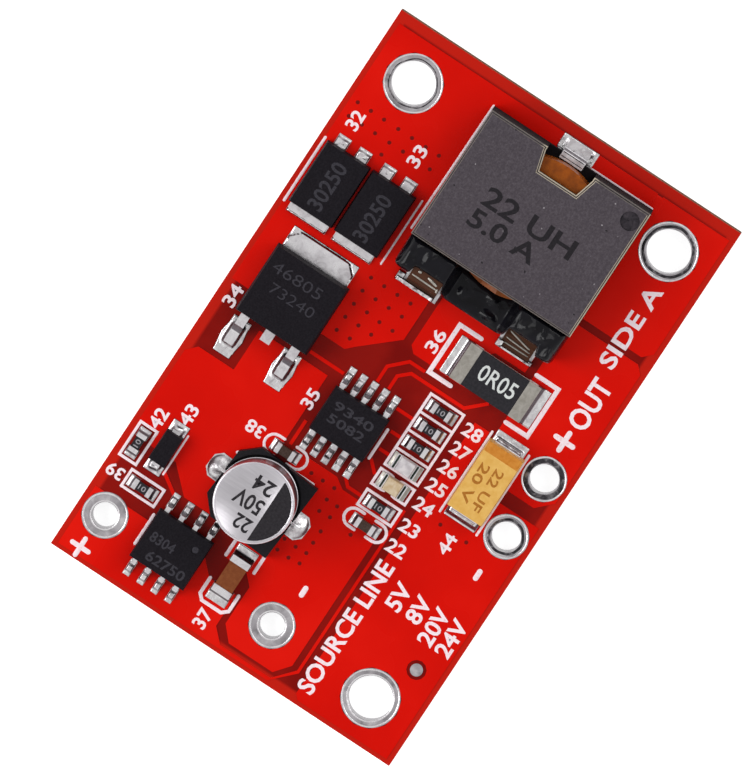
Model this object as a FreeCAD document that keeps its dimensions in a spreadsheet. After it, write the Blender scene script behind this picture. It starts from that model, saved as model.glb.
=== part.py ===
# Solar battery charger module: a bare circuit board with its soldered parts.
# Millimetres. X runs along the board, Y across it, Z up from the board's underside.
import FreeCAD, Part
import math
import os
import re
import Sketcher
from FreeCAD import Vector

doc = FreeCAD.newDocument("charger_module")
sheet = doc.addObject("Spreadsheet::Sheet", "sizes")

sizes = {
    # The board, its copper and its tinned lands
    "board_thick": 1.6,
    "foil_height": 0.05,
    "foil_margin": 0.45,
    "foil_margin_left": 0.35,
    "foil_margin_right": 0.95,
    "foil_gap": 0.45,
    "trace_width": 0.28,
    "land_height": 0.1,
    # Plated holes: finished bore, ring round it, and distance from the board's edges
    "ring_height": 0.06,
    "mounting_bore": 3.5,
    "mounting_ring": 4.6,
    "mounting_inset_right": 4.2,
    "mounting_inset_back": 3.85,
    "mounting_inset_left": 3.6,
    "mounting_inset_front": 4.05,
    "input_bore": 2.05,
    "input_ring": 3.6,
    "input_inset_left": 4.1,
    "input_inset_back": 2.3,
    "input_pitch": 15.3,
    "output_bore": 2.35,
    "output_ring": 3.5,
    "output_offset": 0.15,
    "output_pitch": 5.3,
    "output_inset_front": 2.2,
    "test_pad_width": 1.0,
    "test_pad_clearance": 1.5,
    "test_pad_gap": 0.95,
    "test_pad_inset_front": 2.3,
    # Flat-wire inductor. Its own frame stands on the coil's axis.
    "inductor_edge_gap": 0.92,
    "inductor_left_gap": 0.98,
    "inductor_front_gap": 0.425,
    "inductor_width": 14.45,
    "core_end_wall": 0.52,
    "coil_overhang": 0.47,
    "core_base": 0.85,
    "core_window": 2.75,
    "core_plate": 0.85,
    "core_post": 5.7,
    "post_slot": 0.05,
    "core_chamfer": 0.22,
    "notch_width": 3.36,
    "notch_mouth": 4.24,
    "notch_depth": 1.92,
    "notch_lip": 0.32,
    "eject_mark": 1.5,
    "eject_depth": 0.1,
    "eject_inset_right": 1.3,
    "eject_inset_front": 1.05,
    "coil_inner": 6.0,
    "coil_outer": 11.2,
    "coil_clearance": 0.2,
    "wire_thick": 0.6,
    "turn_pitch": 0.68,
    "coil_levels": 4,
    "step_angle": 7.0,
    "wire_drop": 7.6,
    "wire_foot": 1.35,
    "wire_bend": 0.2,
    "low_wire_lean": 0.8,
    "header_reach": 8.33,
    "header_top": 4.0,
    "header_saddle": 2.0,
    "header_shoulder": 3.1,
    "header_slope": 0.6,
    "header_corner": 0.9,
    "header_recess": 7.15,
    "recess_clearance": 0.2,
    "clip_width": 2.0,
    "clip_thick": 0.25,
    "clip_grip": 0.45,
    "clip_foot": 1.18,
    "clip_bend": 0.15,
    "clip_play": 0.02,
    "wire_land_toe": 0.15,
    "wire_land_side": 0.25,
    "clip_land_toe": 0.1,
    "clip_land_side": 0.5,
    # Can capacitor on its square base
    "capacitor_gap": 1.45,
    "capacitor_inset_back": 11.3,
    "capacitor_turn": -4.0,
    "can_width": 6.3,
    "can_height": 4.5,
    "can_round": 0.25,
    "can_rim": 0.3,
    "can_dish": 0.08,
    "can_crimp_height": 0.9,
    "can_crimp_depth": 0.25,
    "base_width": 6.6,
    "base_floor": 0.5,
    "base_post": 1.3,
    "base_chamfer": 1.3,
    "base_clearance": 0.2,
    "bung_width": 4.6,
    "bung_height": 0.4,
    "strap_width": 0.8,
    "strap_thick": 0.2,
    "strap_root": 0.7,
    "strap_riser": 0.25,
    "strap_toe": 4.05,
    "strap_land_start": 1.6,
    "strap_land_end": 4.6,
    "strap_land_width": 2.15,
    "strap_land_corner": 0.5,
    # Power transistor with a copper tab
    "transistor_gap": 0.655,
    "transistor_inset_back": 5.2,
    "transistor_body": 6.1,
    "transistor_width": 6.5,
    "transistor_top": 2.3,
    "transistor_lift": 0.05,
    "transistor_parting": 1.2,
    "tab_width": 5.6,
    "tab_thick": 0.5,
    "tab_reach": 1.45,
    "tab_root": 4.6,
    "tab_corner": 0.7,
    "power_lead_width": 0.75,
    "power_lead_pitch": 4.6,
    "power_lead_toe": 2.6,
    "power_lead_foot": 1.1,
    "power_lead_knee": 0.75,
    "power_lead_bend": 0.25,
    "power_lead_root": 0.6,
    "power_lead_lean": 0.17,
    "power_land_start": 0.5,
    "power_land_end": 3.6,
    "power_land_side": 0.4,
    "stub_width": 0.85,
    "stub_reach": 0.9,
    "tab_land_side": 0.15,
    # The pair of flat rectifiers
    "rectifier_right_gap": 3.945,
    "rectifier_back_gap": 0.775,
    "rectifier_front_gap": 1.12,
    "rectifier_body": 5.55,
    "rectifier_width": 3.95,
    "rectifier_gap": 0.18,
    "rectifier_top": 1.1,
    "rectifier_lift": 0.05,
    "rectifier_parting": 0.3,
    "rectifier_tab_width": 3.3,
    "rectifier_tab_reach": 0.65,
    "rectifier_tab_root": 3.4,
    "rectifier_lead_width": 0.9,
    "rectifier_lead_pitch": 1.9,
    "rectifier_lead_reach": 0.55,
    "rectifier_lead_root": 0.7,
    "rectifier_metal": 0.25,
    "rectifier_land_side": 0.1,
    "rectifier_land_toe": 0.35,
    # Gull-wing packages: the controller and the input switch
    "controller_gap": 1.6,
    "controller_inset_back": 14.05,
    "controller_body": 3.9,
    "controller_width": 4.9,
    "controller_pins": 5,
    "controller_pitch": 1.0,
    "controller_span": 6.1,
    "controller_land_start": 2.0,
    "controller_land_end": 3.7,
    "switch_edge_gap": 1.15,
    "switch_inset_back": 8.0,
    "switch_body": 4.4,
    "switch_width": 4.95,
    "switch_pins": 4,
    "switch_pitch": 1.27,
    "switch_span": 6.5,
    "switch_land_start": 2.4,
    "switch_land_end": 3.7,
    "package_top": 1.5,
    "package_lift": 0.12,
    "package_parting": 0.8,
    "package_draft": 8.0,
    "lead_width": 0.4,
    "lead_thick": 0.2,
    "lead_root": 0.3,
    "lead_knee": 0.3,
    "lead_foot": 0.55,
    "lead_lean": 0.12,
    "lead_bend": 0.12,
    "pin_mark": 0.5,
    "pin_mark_depth": 0.05,
    "pin_mark_inset": 0.95,
    "pin_mark_inset_end": 1.3,
    "lead_land_side": 0.08,
    # Current-sense resistor
    "shunt_gap": 3.5,
    "shunt_inset_back": 21.62,
    "shunt_length": 6.4,
    "shunt_width": 3.15,
    "shunt_thick": 0.55,
    "shunt_end": 1.05,
    "shunt_coat": 0.08,
    "shunt_plate": 0.05,
    "shunt_land_start": 2.1,
    "shunt_land_end": 4.05,
    "shunt_land_side": 0.05,
    # Moulded tantalum capacitor
    "tantalum_right_gap": 1.3,
    "tantalum_front_gap": 0.25,
    "tantalum_length": 6.0,
    "tantalum_width": 3.2,
    "tantalum_top": 2.6,
    "tantalum_parting": 1.35,
    "tantalum_draft": 4.0,
    "tantalum_strap_width": 2.2,
    "tantalum_strap": 0.15,
    "tantalum_bend": 0.12,
    "tantalum_root": 0.3,
    "tantalum_foot": 1.3,
    "tantalum_land_start": 1.6,
    "tantalum_land_end": 3.8,
    "tantalum_land_side": 0.3,
    # Small-signal diode
    "diode_offset": 0.9,
    "diode_gap": 0.9,
    "diode_length": 2.75,
    "diode_width": 1.5,
    "diode_top": 1.1,
    "diode_parting": 0.5,
    "diode_span": 3.6,
    "diode_lead_width": 0.65,
    "diode_lead_thick": 0.15,
    "diode_root": 0.3,
    "diode_knee": 0.06,
    "diode_ankle": 0.12,
    "diode_land_start": 1.35,
    "diode_land_end": 2.2,
    "diode_land_width": 1.4,
    # Chip parts: ceramic blocks with metal end cups
    "cup_wall": 0.04,
    "chip_length": 1.6,
    "chip_width": 0.8,
    "resistor_thick": 0.45,
    "chip_capacitor_thick": 0.8,
    "chip_end": 0.35,
    "chip_land_start": 0.45,
    "chip_land_end": 1.25,
    "chip_land_side": 0.08,
    "row_front_gap": 2.15,
    "row_right_gap": 2.25,
    "row_gap": 0.85,
    "row_left_gap": 0.925,
    "filter_gap": 0.95,
    "filter_offset": 0.1,
    "side_resistor_gap": 1.15,
    "side_resistor_inset_back": 3.55,
    "back_resistor_gap": 1.05,
    "back_resistor_inset_back": 1.35,
    "bypass_gap": 0.35,
    "bypass_offset": 0.15,
    "big_chip_length": 3.2,
    "big_chip_width": 1.6,
    "big_chip_thick": 1.2,
    "big_chip_end": 0.55,
    "big_chip_land_start": 1.0,
    "big_chip_land_end": 2.45,
    "big_chip_inset_left": 5.6,
    "big_chip_gap": 1.675,
    # Indicator lamps: a printed base, a cast lens and plated ends
    "lamp_length": 2.0,
    "lamp_width": 1.25,
    "lamp_base": 0.3,
    "lamp_lens_length": 1.4,
    "lamp_lens_height": 0.5,
    "lamp_end": 0.3,
    "lamp_draft": 10.0,
    "lamp_land_start": 0.65,
    "lamp_land_end": 1.28,
    "lamp_row_gap": 0.675,
    "lamp_gap": 0.55,
}
for row, (alias, number) in enumerate(sizes.items(), 1):
    sheet.set("A%d" % row, alias)
    sheet.set("B%d" % row, str(number))
    sheet.setAlias("B%d" % row, alias)
doc.recompute()

# The board is as long and wide as its parts and the gaps between them make it.
# Along it, each distance runs from the left edge to the middle of a part.
SWITCH_ALONG = "(switch_edge_gap + switch_land_end)"
CAPACITOR_ALONG = "(" + SWITCH_ALONG + " + switch_body / 2 + capacitor_gap + base_width / 2)"
CONTROLLER_ALONG = "(" + CAPACITOR_ALONG + " + base_width / 2 + controller_gap + controller_land_end)"
SHUNT_ALONG = "(" + CONTROLLER_ALONG + " + controller_land_end + shunt_gap + shunt_width / 2)"
INDUCTOR_ALONG = "(" + SHUNT_ALONG + " + shunt_width / 2 + inductor_left_gap + wire_drop + wire_foot)"
CORE_RIGHT = "(coil_outer / 2 + core_end_wall)"
LENGTH = "(%s + %s + clip_foot + clip_land_toe + inductor_edge_gap)" % (INDUCTOR_ALONG, CORE_RIGHT)
# Across it, each distance runs from the front edge to the middle of a part.
INDUCTOR_ACROSS = "(mounting_inset_back + mounting_ring / 2 + inductor_front_gap + inductor_width / 2)"
RECTIFIER_ACROSS = ("(" + INDUCTOR_ACROSS + " + inductor_width / 2 + rectifier_front_gap"
                    " + rectifier_width / 2)")
WIDTH = "(" + RECTIFIER_ACROSS + " + rectifier_gap + 1.5 * rectifier_width + rectifier_back_gap)"

LEFT, RIGHT = "-%s / 2" % LENGTH, "%s / 2" % LENGTH
FRONT, BACK = "-%s / 2" % WIDTH, "%s / 2" % WIDTH
# The height on which soldered parts stand
SEAT = "board_thick + land_height"
# The foil is cleared round each plated hole by a shape of this many sides
CLEARANCE_SIDES = 12


def bound(text):
    """Words of an expression that are sizes are tied to their cells."""
    def tied(word):
        return "sizes." + word.group() if word.group() in sizes else word.group()

    return re.sub(r"[a-z_]+", tied, text)


def mm(text):
    """The present value of an expression of sizes."""
    return float(sheet.evalExpression(bound(text)))


nodes = {}


def node(label, thing, x="0", y="0", z="0", turn=None):
    """A finished sub-part: its label names its file, and its place follows the sheet."""
    thing.Label = label
    nodes[label] = thing
    place(thing, x, y, z, turn)
    return thing


def place(thing, x, y, z, turn=None):
    for axis, text in (("x", x), ("y", y), ("z", z)):
        thing.setExpression("Placement.Base." + axis, bound(text))
    if turn:
        thing.Placement.Rotation = FreeCAD.Rotation(Vector(0, 0, 1), 0)
        thing.setExpression("Placement.Rotation.Angle", bound(turn))


def new_body(name):
    return doc.addObject("PartDesign::Body", name)


def datum(body, role):
    return [feature for feature in body.Origin.OriginFeatures if feature.Role == role][0]


def sketch_on(body, role, name, height=None):
    sketch = body.newObject("Sketcher::SketchObject", name)
    sketch.AttachmentSupport = [(datum(body, role), "")]
    sketch.MapMode = "FlatFace"
    if height:
        sketch.setExpression("AttachmentOffset.Base.z", bound(height))
    return sketch


def hold_point(sketch, geometry, point, x, y):
    """A point's two distances from the sketch's origin are tied to the sheet."""
    for kind, text in (("DistanceX", x), ("DistanceY", y)):
        index = sketch.addConstraint(Sketcher.Constraint(kind, -1, 1, geometry, point, mm(text)))
        sketch.setExpression("Constraints[%d]" % index, bound(text))


def add_outline(sketch, points):
    """A closed outline of straight lines, each corner given by two expressions."""
    first = sketch.GeometryCount
    corners = [Vector(mm(x), mm(y), 0) for x, y in points]
    count = len(points)
    for index in range(count):
        sketch.addGeometry(Part.LineSegment(corners[index], corners[(index + 1) % count]), False)
    for index in range(count):
        joint = Sketcher.Constraint("Coincident", first + index, 2, first + (index + 1) % count, 1)
        sketch.addConstraint(joint)
    for index, (x, y) in enumerate(points):
        hold_point(sketch, first + index, 1, x, y)


def corners_of(low_x, low_y, high_x, high_y):
    return [(low_x, low_y), (high_x, low_y), (high_x, high_y), (low_x, high_y)]


def add_rectangle(sketch, low_x, low_y, high_x, high_y):
    add_outline(sketch, corners_of(low_x, low_y, high_x, high_y))


def add_mirrored(sketch, points, axis="x"):
    """An outline and its mirror image, on both sides of the sketch's middle."""
    add_outline(sketch, points)
    if axis == "x":
        add_outline(sketch, [("-(%s)" % x, y) for x, y in points])
    else:
        add_outline(sketch, [(x, "-(%s)" % y) for x, y in points])


def add_circle(sketch, x, y, width):
    circle = Part.Circle(Vector(mm(x), mm(y), 0), Vector(0, 0, 1), mm(width) / 2)
    geometry = sketch.addGeometry(circle, False)
    hold_point(sketch, geometry, 3, x, y)
    index = sketch.addConstraint(Sketcher.Constraint("Diameter", geometry, mm(width)))
    sketch.setExpression("Constraints[%d]" % index, bound(width))


def pad(body, name, sketch, length, down=False, draft=None, both_ways=False):
    feature = body.newObject("PartDesign::Pad", name)
    feature.Profile = sketch
    feature.setExpression("Length", bound(length))
    feature.Reversed = down
    feature.Midplane = both_ways
    if draft:
        feature.setExpression("TaperAngle", bound("-" + draft))
    return feature


def pocket(body, name, sketch, depth, up=False):
    """A cut below its sketch, or above it where up is set. It must take something away."""
    doc.recompute()
    before = body.Shape.Volume
    feature = body.newObject("PartDesign::Pocket", name)
    feature.Profile = sketch
    feature.setExpression("Length", bound(depth))
    feature.Reversed = up
    doc.recompute()
    if not body.Shape.Volume < before:
        raise RuntimeError("%s cuts nothing" % name)
    return feature


def edges_where(feature, test):
    """The names of a feature's edges that pass a test of the edge and its middle."""
    edges = enumerate(feature.Shape.Edges, 1)
    return ["Edge%d" % number for number, edge in edges if test(edge, edge.CenterOfMass)]


def dress(body, kind, name, feature, size, test):
    """A fillet or a chamfer on the chosen edges."""
    doc.recompute()
    result = body.newObject("PartDesign::" + kind, name)
    result.Base = (feature, edges_where(feature, test))
    result.setExpression("Radius" if kind == "Fillet" else "Size", bound(size))
    return result


def pattern(body, name, role, count, length):
    result = body.newObject("PartDesign::LinearPattern", name)
    result.TransformMode = "Whole shape"
    result.Direction = (datum(body, role), [""])
    result.setExpression("Occurrences", bound(count))
    result.setExpression("Length", bound(length))
    body.Tip = result
    return result


def cut(name, base, *tools):
    """The base without the room that the tools take, so that they seat face to face."""
    for number, tool in enumerate(tools):
        result = doc.addObject("Part::Cut", "%s_cut_%d" % (name, number + 1))
        result.Base = base
        result.Tool = tool
        base = result
    return base


def runs_along(edge, axis):
    """Whether an edge is straight along X, Y or Z."""
    run = edge.Vertexes[-1].Point - edge.Vertexes[0].Point
    return run.Length > 1e-6 and abs(getattr(run, axis)) > run.Length - 1e-9


def near(one, other):
    return abs(one - other) < 1e-4


lands = []


def land(x, y, start, end, width, turn=0, corner=None):
    """A tinned copper land for a foot. It lies between two distances from the part's middle,
    along the part's own X after its turn, and its outer corners may be cut off."""
    low, high, half = mm(start), mm(end), mm(width) / 2
    corners = [(low, -half), (high, -half), (high, half), (low, half)]
    if corner:
        nick = mm(corner)
        corners = [(low, -half), (high - nick, -half), (high, nick - half), (high, half - nick),
                   (high - nick, half), (low, half)]
    outline = Part.makePolygon([Vector(px, py, 0) for px, py in corners + corners[:1]])
    outline.rotate(Vector(0, 0, 0), Vector(0, 0, 1), turn)
    outline.translate(Vector(mm(x), mm(y), mm("board_thick")))
    lands.append(Part.Face(outline).extrude(Vector(0, 0, mm("land_height"))))


def land_pair(x, y, start, end, width, turn=0, corner=None):
    for half_turn in (0, 180):
        land(x, y, start, end, width, turn + half_turn, corner)


# Where the parts stand that several functions place
switch_x, switch_y = LEFT + " + " + SWITCH_ALONG, BACK + " - switch_inset_back"
capacitor_x, capacitor_y = LEFT + " + " + CAPACITOR_ALONG, BACK + " - capacitor_inset_back"
controller_x, controller_y = LEFT + " + " + CONTROLLER_ALONG, BACK + " - controller_inset_back"
shunt_x, shunt_y = LEFT + " + " + SHUNT_ALONG, BACK + " - shunt_inset_back"
inductor_x, inductor_y = LEFT + " + " + INDUCTOR_ALONG, FRONT + " + " + INDUCTOR_ACROSS
rectifier_x = (RIGHT + " - mounting_inset_right - mounting_ring / 2 - rectifier_right_gap"
               " - rectifier_land_toe - rectifier_lead_reach - rectifier_body / 2")
row_y = controller_y + " - controller_width / 2 - row_front_gap - chip_length / 2"
row_x = shunt_x + " - shunt_width / 2 - row_right_gap - chip_width / 2"
clear_lamp_x = row_x + " - 2 * (chip_width + row_gap) - chip_width / 2 - lamp_row_gap - lamp_width / 2"
amber_lamp_x = clear_lamp_x + " - lamp_width - lamp_gap"
tantalum_x = shunt_x + " - shunt_width / 2 - tantalum_right_gap - tantalum_land_end"
output_x = tantalum_x + " - output_offset"

side_resistor = (LEFT + " + input_inset_left + input_ring / 2 + side_resistor_gap + chip_width / 2",
                 BACK + " - side_resistor_inset_back")
back_resistor = (side_resistor[0] + " + chip_width / 2 + back_resistor_gap + chip_land_end",
                 BACK + " - back_resistor_inset_back")

# Where each plated hole stands
mounting_holes = [
    (RIGHT + " - mounting_inset_right", BACK + " - mounting_inset_back"),
    (RIGHT + " - mounting_inset_right", FRONT + " + mounting_inset_back"),
    (LEFT + " + mounting_inset_left", FRONT + " + mounting_inset_front"),
]
wire_holes = {
    "input_plus_ring": ("input", LEFT + " + input_inset_left", BACK + " - input_inset_back"),
    "input_minus_ring": ("input", LEFT + " + input_inset_left", BACK + " - input_inset_back - input_pitch"),
    "output_minus_ring": ("output", output_x + " - output_pitch / 2", FRONT + " + output_inset_front"),
    "output_plus_ring": ("output", output_x + " + output_pitch / 2", FRONT + " + output_inset_front"),
}
test_pad = (LEFT + " + mounting_inset_left + mounting_ring / 2 + test_pad_gap + test_pad_width / 2",
            FRONT + " + test_pad_inset_front")
holes = [("mounting", x, y) for x, y in mounting_holes] + list(wire_holes.values())


def make_board():
    """The laminate, bored for the plated holes."""
    body = new_body("laminate")
    outline = sketch_on(body, "XY_Plane", "board_outline")
    add_rectangle(outline, LEFT, FRONT, RIGHT, BACK)
    pad(body, "laminate_sheet", outline, "board_thick")
    bores = sketch_on(body, "XY_Plane", "drilled_holes", "board_thick")
    for kind, x, y in holes:
        add_circle(bores, x, y, kind + "_bore")
    pocket(body, "drillings", bores, "board_thick")
    node("circuit_board", body)


def make_ring(label, kind, x, y):
    """The tinned ring round a plated hole."""
    body = new_body(label + "_plated")
    outline = sketch_on(body, "XY_Plane", label + "_outline")
    add_circle(outline, "0", "0", kind + "_ring")
    add_circle(outline, "0", "0", kind + "_bore")
    pad(body, label + "_foil", outline, "ring_height")
    node(label, body, x, y, "board_thick")


def make_test_pad():
    body = new_body("fiducial")
    disc = sketch_on(body, "XY_Plane", "fiducial_disc")
    add_circle(disc, "0", "0", "test_pad_width")
    pad(body, "fiducial_foil", disc, "ring_height")
    node("test_pad", body, test_pad[0], test_pad[1], "board_thick")


def gull_wings(name, span, body_width, pins, pitch):
    """Two rows of leads: out of the body, down, and out again to flat feet."""
    body = new_body(name + "_leads_formed")
    profile = sketch_on(body, "XZ_Plane", name + "_lead_side", "-%s * (%s - 1) / 2" % (pitch, pins))
    low = "package_parting - lead_thick / 2"
    high = "package_parting + lead_thick / 2"
    knee = body_width + " / 2 + lead_knee"
    ankle = span + " / 2 - lead_foot"
    root = body_width + " / 2 - lead_root"
    tip = span + " / 2"
    add_mirrored(profile, [
        (root, low), (knee, low), (ankle, "0"), (tip, "0"), (tip, "lead_thick"),
        (ankle + " + lead_lean", "lead_thick"), (knee + " + lead_lean", high), (root, high),
    ])
    strip = pad(body, name + "_lead_strip", profile, "lead_width", both_ways=True)
    bends = (mm(knee + " + lead_lean"), mm(ankle))
    dress(body, "Fillet", name + "_lead_bends", strip, "lead_bend",
          lambda edge, middle: runs_along(edge, "y") and any(near(abs(middle.x), bend) for bend in bends))
    pattern(body, name + "_lead_rows", "XZ_Plane", pins, "%s * (%s - 1)" % (pitch, pins))
    return body


def moulded_block(name, length, width, lift, parting, top, draft, mark=None):
    """A moulded body with draft above and below its parting line."""
    body = new_body(name + "_moulding")
    middle = sketch_on(body, "XY_Plane", name + "_parting", parting)
    add_rectangle(middle, "-%s / 2" % length, "-%s / 2" % width, "%s / 2" % length, "%s / 2" % width)
    pad(body, name + "_upper", middle, "%s - %s" % (top, parting), draft=draft)
    pad(body, name + "_lower", middle, "%s - %s" % (parting, lift), down=True, draft=draft)
    if mark:
        dimple = sketch_on(body, "XY_Plane", name + "_mark", top)
        add_circle(dimple, mark[0], mark[1], "pin_mark")
        pocket(body, name + "_dimple", dimple, "pin_mark_depth")
    return body


def make_gull_package(label, x, y, mark):
    """A small-outline package, its body and its leads, sized by the values that bear its name."""
    leads = gull_wings(label, label + "_span", label + "_body", label + "_pins", label + "_pitch")
    body = moulded_block(label, label + "_body", label + "_width", "package_lift", "package_parting",
                         "package_top", "package_draft", mark)
    node(label + "_leads", leads, x, y, SEAT)
    place(body, x, y, SEAT)
    node(label + "_body", cut(label, body, leads))
    for number in range(int(mm(label + "_pins"))):
        row = "%s + %s_pitch * (%d - (%s_pins - 1) / 2)" % (y, label, number, label)
        land_pair(x, row, label + "_land_start", label + "_land_end", "lead_width + 2 * lead_land_side")


def make_transistor():
    """The power transistor: tab below, two bent leads and a cropped middle one."""
    half = "transistor_body / 2"
    x = (rectifier_x + " - rectifier_body / 2 - rectifier_tab_reach - rectifier_land_side - transistor_gap"
         " - tab_land_side - tab_reach - " + half)
    y = BACK + " - transistor_inset_back"
    root = "power_lead_root - " + half
    low, high = "transistor_parting - tab_thick / 2", "transistor_parting + tab_thick / 2"

    tab = new_body("transistor_tab_stamped")
    outline = sketch_on(tab, "XY_Plane", "tab_outline")
    add_outline(outline, [
        (half + " - tab_root", "-tab_width / 2"),
        (half + " + tab_reach - tab_corner", "-tab_width / 2"),
        (half + " + tab_reach", "-tab_width / 2 + tab_corner"),
        (half + " + tab_reach", "tab_width / 2 - tab_corner"),
        (half + " + tab_reach - tab_corner", "tab_width / 2"),
        (half + " - tab_root", "tab_width / 2"),
    ])
    pad(tab, "tab_plate", outline, "tab_thick")
    node("transistor_tab", tab, x, y, SEAT)

    leads = new_body("transistor_leads_formed")
    profile = sketch_on(leads, "XZ_Plane", "power_lead_side", "-power_lead_pitch / 2")
    knee = "-(%s + power_lead_knee)" % half
    ankle = "-(%s + power_lead_toe - power_lead_foot)" % half
    toe = "-(%s + power_lead_toe)" % half
    add_outline(profile, [
        (root, low), (knee, low), (ankle + " + power_lead_lean", "0"), (toe, "0"), (toe, "tab_thick"),
        (ankle, "tab_thick"), (knee + " - power_lead_lean", high), (root, high),
    ])
    strip = pad(leads, "power_lead_strip", profile, "power_lead_width", both_ways=True)
    bends = [mm(spot) for spot in (knee, knee + " - power_lead_lean", ankle, ankle + " + power_lead_lean")]
    dress(leads, "Fillet", "power_lead_bends", strip, "power_lead_bend",
          lambda edge, middle: runs_along(edge, "y") and any(near(middle.x, bend) for bend in bends))
    pattern(leads, "power_lead_pair", "XZ_Plane", "2", "power_lead_pitch")
    stub = sketch_on(leads, "XY_Plane", "cropped_lead", low)
    add_rectangle(stub, "-%s - stub_reach" % half, "-stub_width / 2", root, "stub_width / 2")
    leads.Tip = pad(leads, "cropped_lead_strip", stub, "tab_thick")
    node("transistor_leads", leads, x, y, SEAT)

    body = moulded_block("transistor", "transistor_body", "transistor_width", "transistor_lift",
                         "transistor_parting", "transistor_top", "package_draft")
    place(body, x, y, SEAT)
    node("transistor_body", cut("transistor", body, tab, leads))

    land(x, y, half + " - tab_root", half + " + tab_reach + tab_land_side", "tab_width + 2 * tab_land_side",
         corner="tab_corner")
    for side in ("-", "+"):
        land(x, y + " %s power_lead_pitch / 2" % side, half + " + power_land_start",
             half + " + power_land_end", "power_lead_width + 2 * power_land_side", 180, "power_land_side")


def make_rectifier(number):
    """A flat rectifier: one broad tab at its left end, two short leads at its right."""
    label = "rectifier_%d" % number
    x, half = rectifier_x, "rectifier_body / 2"
    y = "%s + %s + (rectifier_width + rectifier_gap) * %d" % (FRONT, RECTIFIER_ACROSS, 2 - number)

    tab = new_body(label + "_tab_stamped")
    outline = sketch_on(tab, "XY_Plane", label + "_tab_outline")
    add_rectangle(outline, "-%s - rectifier_tab_reach" % half, "-rectifier_tab_width / 2",
                  "-%s + rectifier_tab_root" % half, "rectifier_tab_width / 2")
    pad(tab, label + "_tab_plate", outline, "rectifier_metal")
    node(label + "_tab", tab, x, y, SEAT)

    leads = new_body(label + "_leads_stamped")
    feet = sketch_on(leads, "XY_Plane", label + "_feet")
    add_mirrored(feet, corners_of(
        half + " - rectifier_lead_root", "(rectifier_lead_pitch - rectifier_lead_width) / 2",
        half + " + rectifier_lead_reach", "(rectifier_lead_pitch + rectifier_lead_width) / 2"), "y")
    pad(leads, label + "_lead_strips", feet, "rectifier_metal")
    node(label + "_leads", leads, x, y, SEAT)

    body = moulded_block(label, "rectifier_body", "rectifier_width", "rectifier_lift",
                         "rectifier_parting", "rectifier_top", "package_draft")
    place(body, x, y, SEAT)
    node(label + "_body", cut(label, body, tab, leads))

    land(x, y, half + " - rectifier_tab_root", half + " + rectifier_tab_reach + rectifier_land_side",
         "rectifier_tab_width + 2 * rectifier_land_side", 180)
    for side in ("-", "+"):
        land(x, y + " %s rectifier_lead_pitch / 2" % side, half + " - rectifier_lead_root",
             half + " + rectifier_lead_reach + rectifier_land_toe",
             "rectifier_lead_width + 2 * rectifier_land_side")


# Distances in the inductor's own frame
core_left = "(coil_overhang - coil_outer / 2)"
wire_row = "(coil_inner + coil_outer) / 4"
wire_width = "(coil_outer - coil_inner) / 2"


def make_lower_core():
    """The ferrite half with the round post and two outer legs hollowed round the coil."""
    body = new_body("lower_core_pressed")
    block = sketch_on(body, "XY_Plane", "core_footprint")
    add_rectangle(block, core_left, "-inductor_width / 2", CORE_RIGHT, "inductor_width / 2")
    pad(body, "core_block", block, "core_base + core_window")

    window = sketch_on(body, "XY_Plane", "winding_window", "core_base + core_window")
    radius = "(coil_outer / 2 + coil_clearance)"
    add_circle(window, "0", "0", "2 * " + radius)
    add_circle(window, "0", "0", "core_post")
    pocket(body, "winding_channel", window, "core_window")

    openings = sketch_on(body, "XY_Plane", "end_openings", "core_base + core_window")
    beyond, beside = core_left + " - 1", "(core_post / 2 + post_slot)"
    add_outline(openings, [
        (beyond, "-" + radius), ("0", "-" + radius), ("0", "-" + beside), ("-" + beside, "-" + beside),
        ("-" + beside, beside), ("0", beside), ("0", radius), (beyond, radius),
    ])
    add_rectangle(openings, CORE_RIGHT + " - notch_depth", "-notch_mouth / 2",
                  CORE_RIGHT + " + 1", "notch_mouth / 2")
    pocket(body, "end_slots", openings, "core_window")
    node("inductor_lower_core", body, inductor_x, inductor_y, SEAT)


def make_upper_core():
    """The ferrite plate that closes the core, notched at its right edge."""
    body = new_body("upper_core_pressed")
    under = "core_base + core_window"
    plate = sketch_on(body, "XY_Plane", "plate_outline", under)
    throat, start = CORE_RIGHT + " - notch_lip", CORE_RIGHT + " - notch_depth"
    add_outline(plate, [
        (core_left, "-inductor_width / 2"), (CORE_RIGHT, "-inductor_width / 2"),
        (CORE_RIGHT, "-notch_mouth / 2"), (throat, "-notch_mouth / 2"), (start, "-notch_width / 2"),
        (start, "notch_width / 2"), (throat, "notch_mouth / 2"), (CORE_RIGHT, "notch_mouth / 2"),
        (CORE_RIGHT, "inductor_width / 2"), (core_left, "inductor_width / 2"),
    ])
    slab = pad(body, "plate_slab", plate, "core_plate")
    top = mm(under + " + core_plate")
    dress(body, "Chamfer", "eased_rim", slab, "core_chamfer", lambda edge, middle: near(middle.z, top))
    mark = sketch_on(body, "XY_Plane", "ejector_mark", under + " + core_plate")
    add_circle(mark, CORE_RIGHT + " - eject_inset_right", "eject_inset_front - inductor_width / 2",
               "eject_mark")
    pocket(body, "ejector_dimple", mark, "eject_depth")
    node("inductor_upper_core", body, inductor_x, inductor_y, SEAT)


def bent_strip(points, width, middle_y, bend):
    """A flat strip seen from its side: outline points, pushed along Y, bends rounded."""
    outline = Part.makePolygon([Vector(px, middle_y - width / 2, pz) for px, pz in points + points[:1]])
    strip = Part.Face(outline).extrude(Vector(0, width, 0))
    ends = (min(px for px, pz in points), max(px for px, pz in points))
    bends = [edge for edge in strip.Edges
             if runs_along(edge, "y") and not any(near(edge.CenterOfMass.x, end) for end in ends)]
    return strip.makeFillet(bend, bends)


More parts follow.
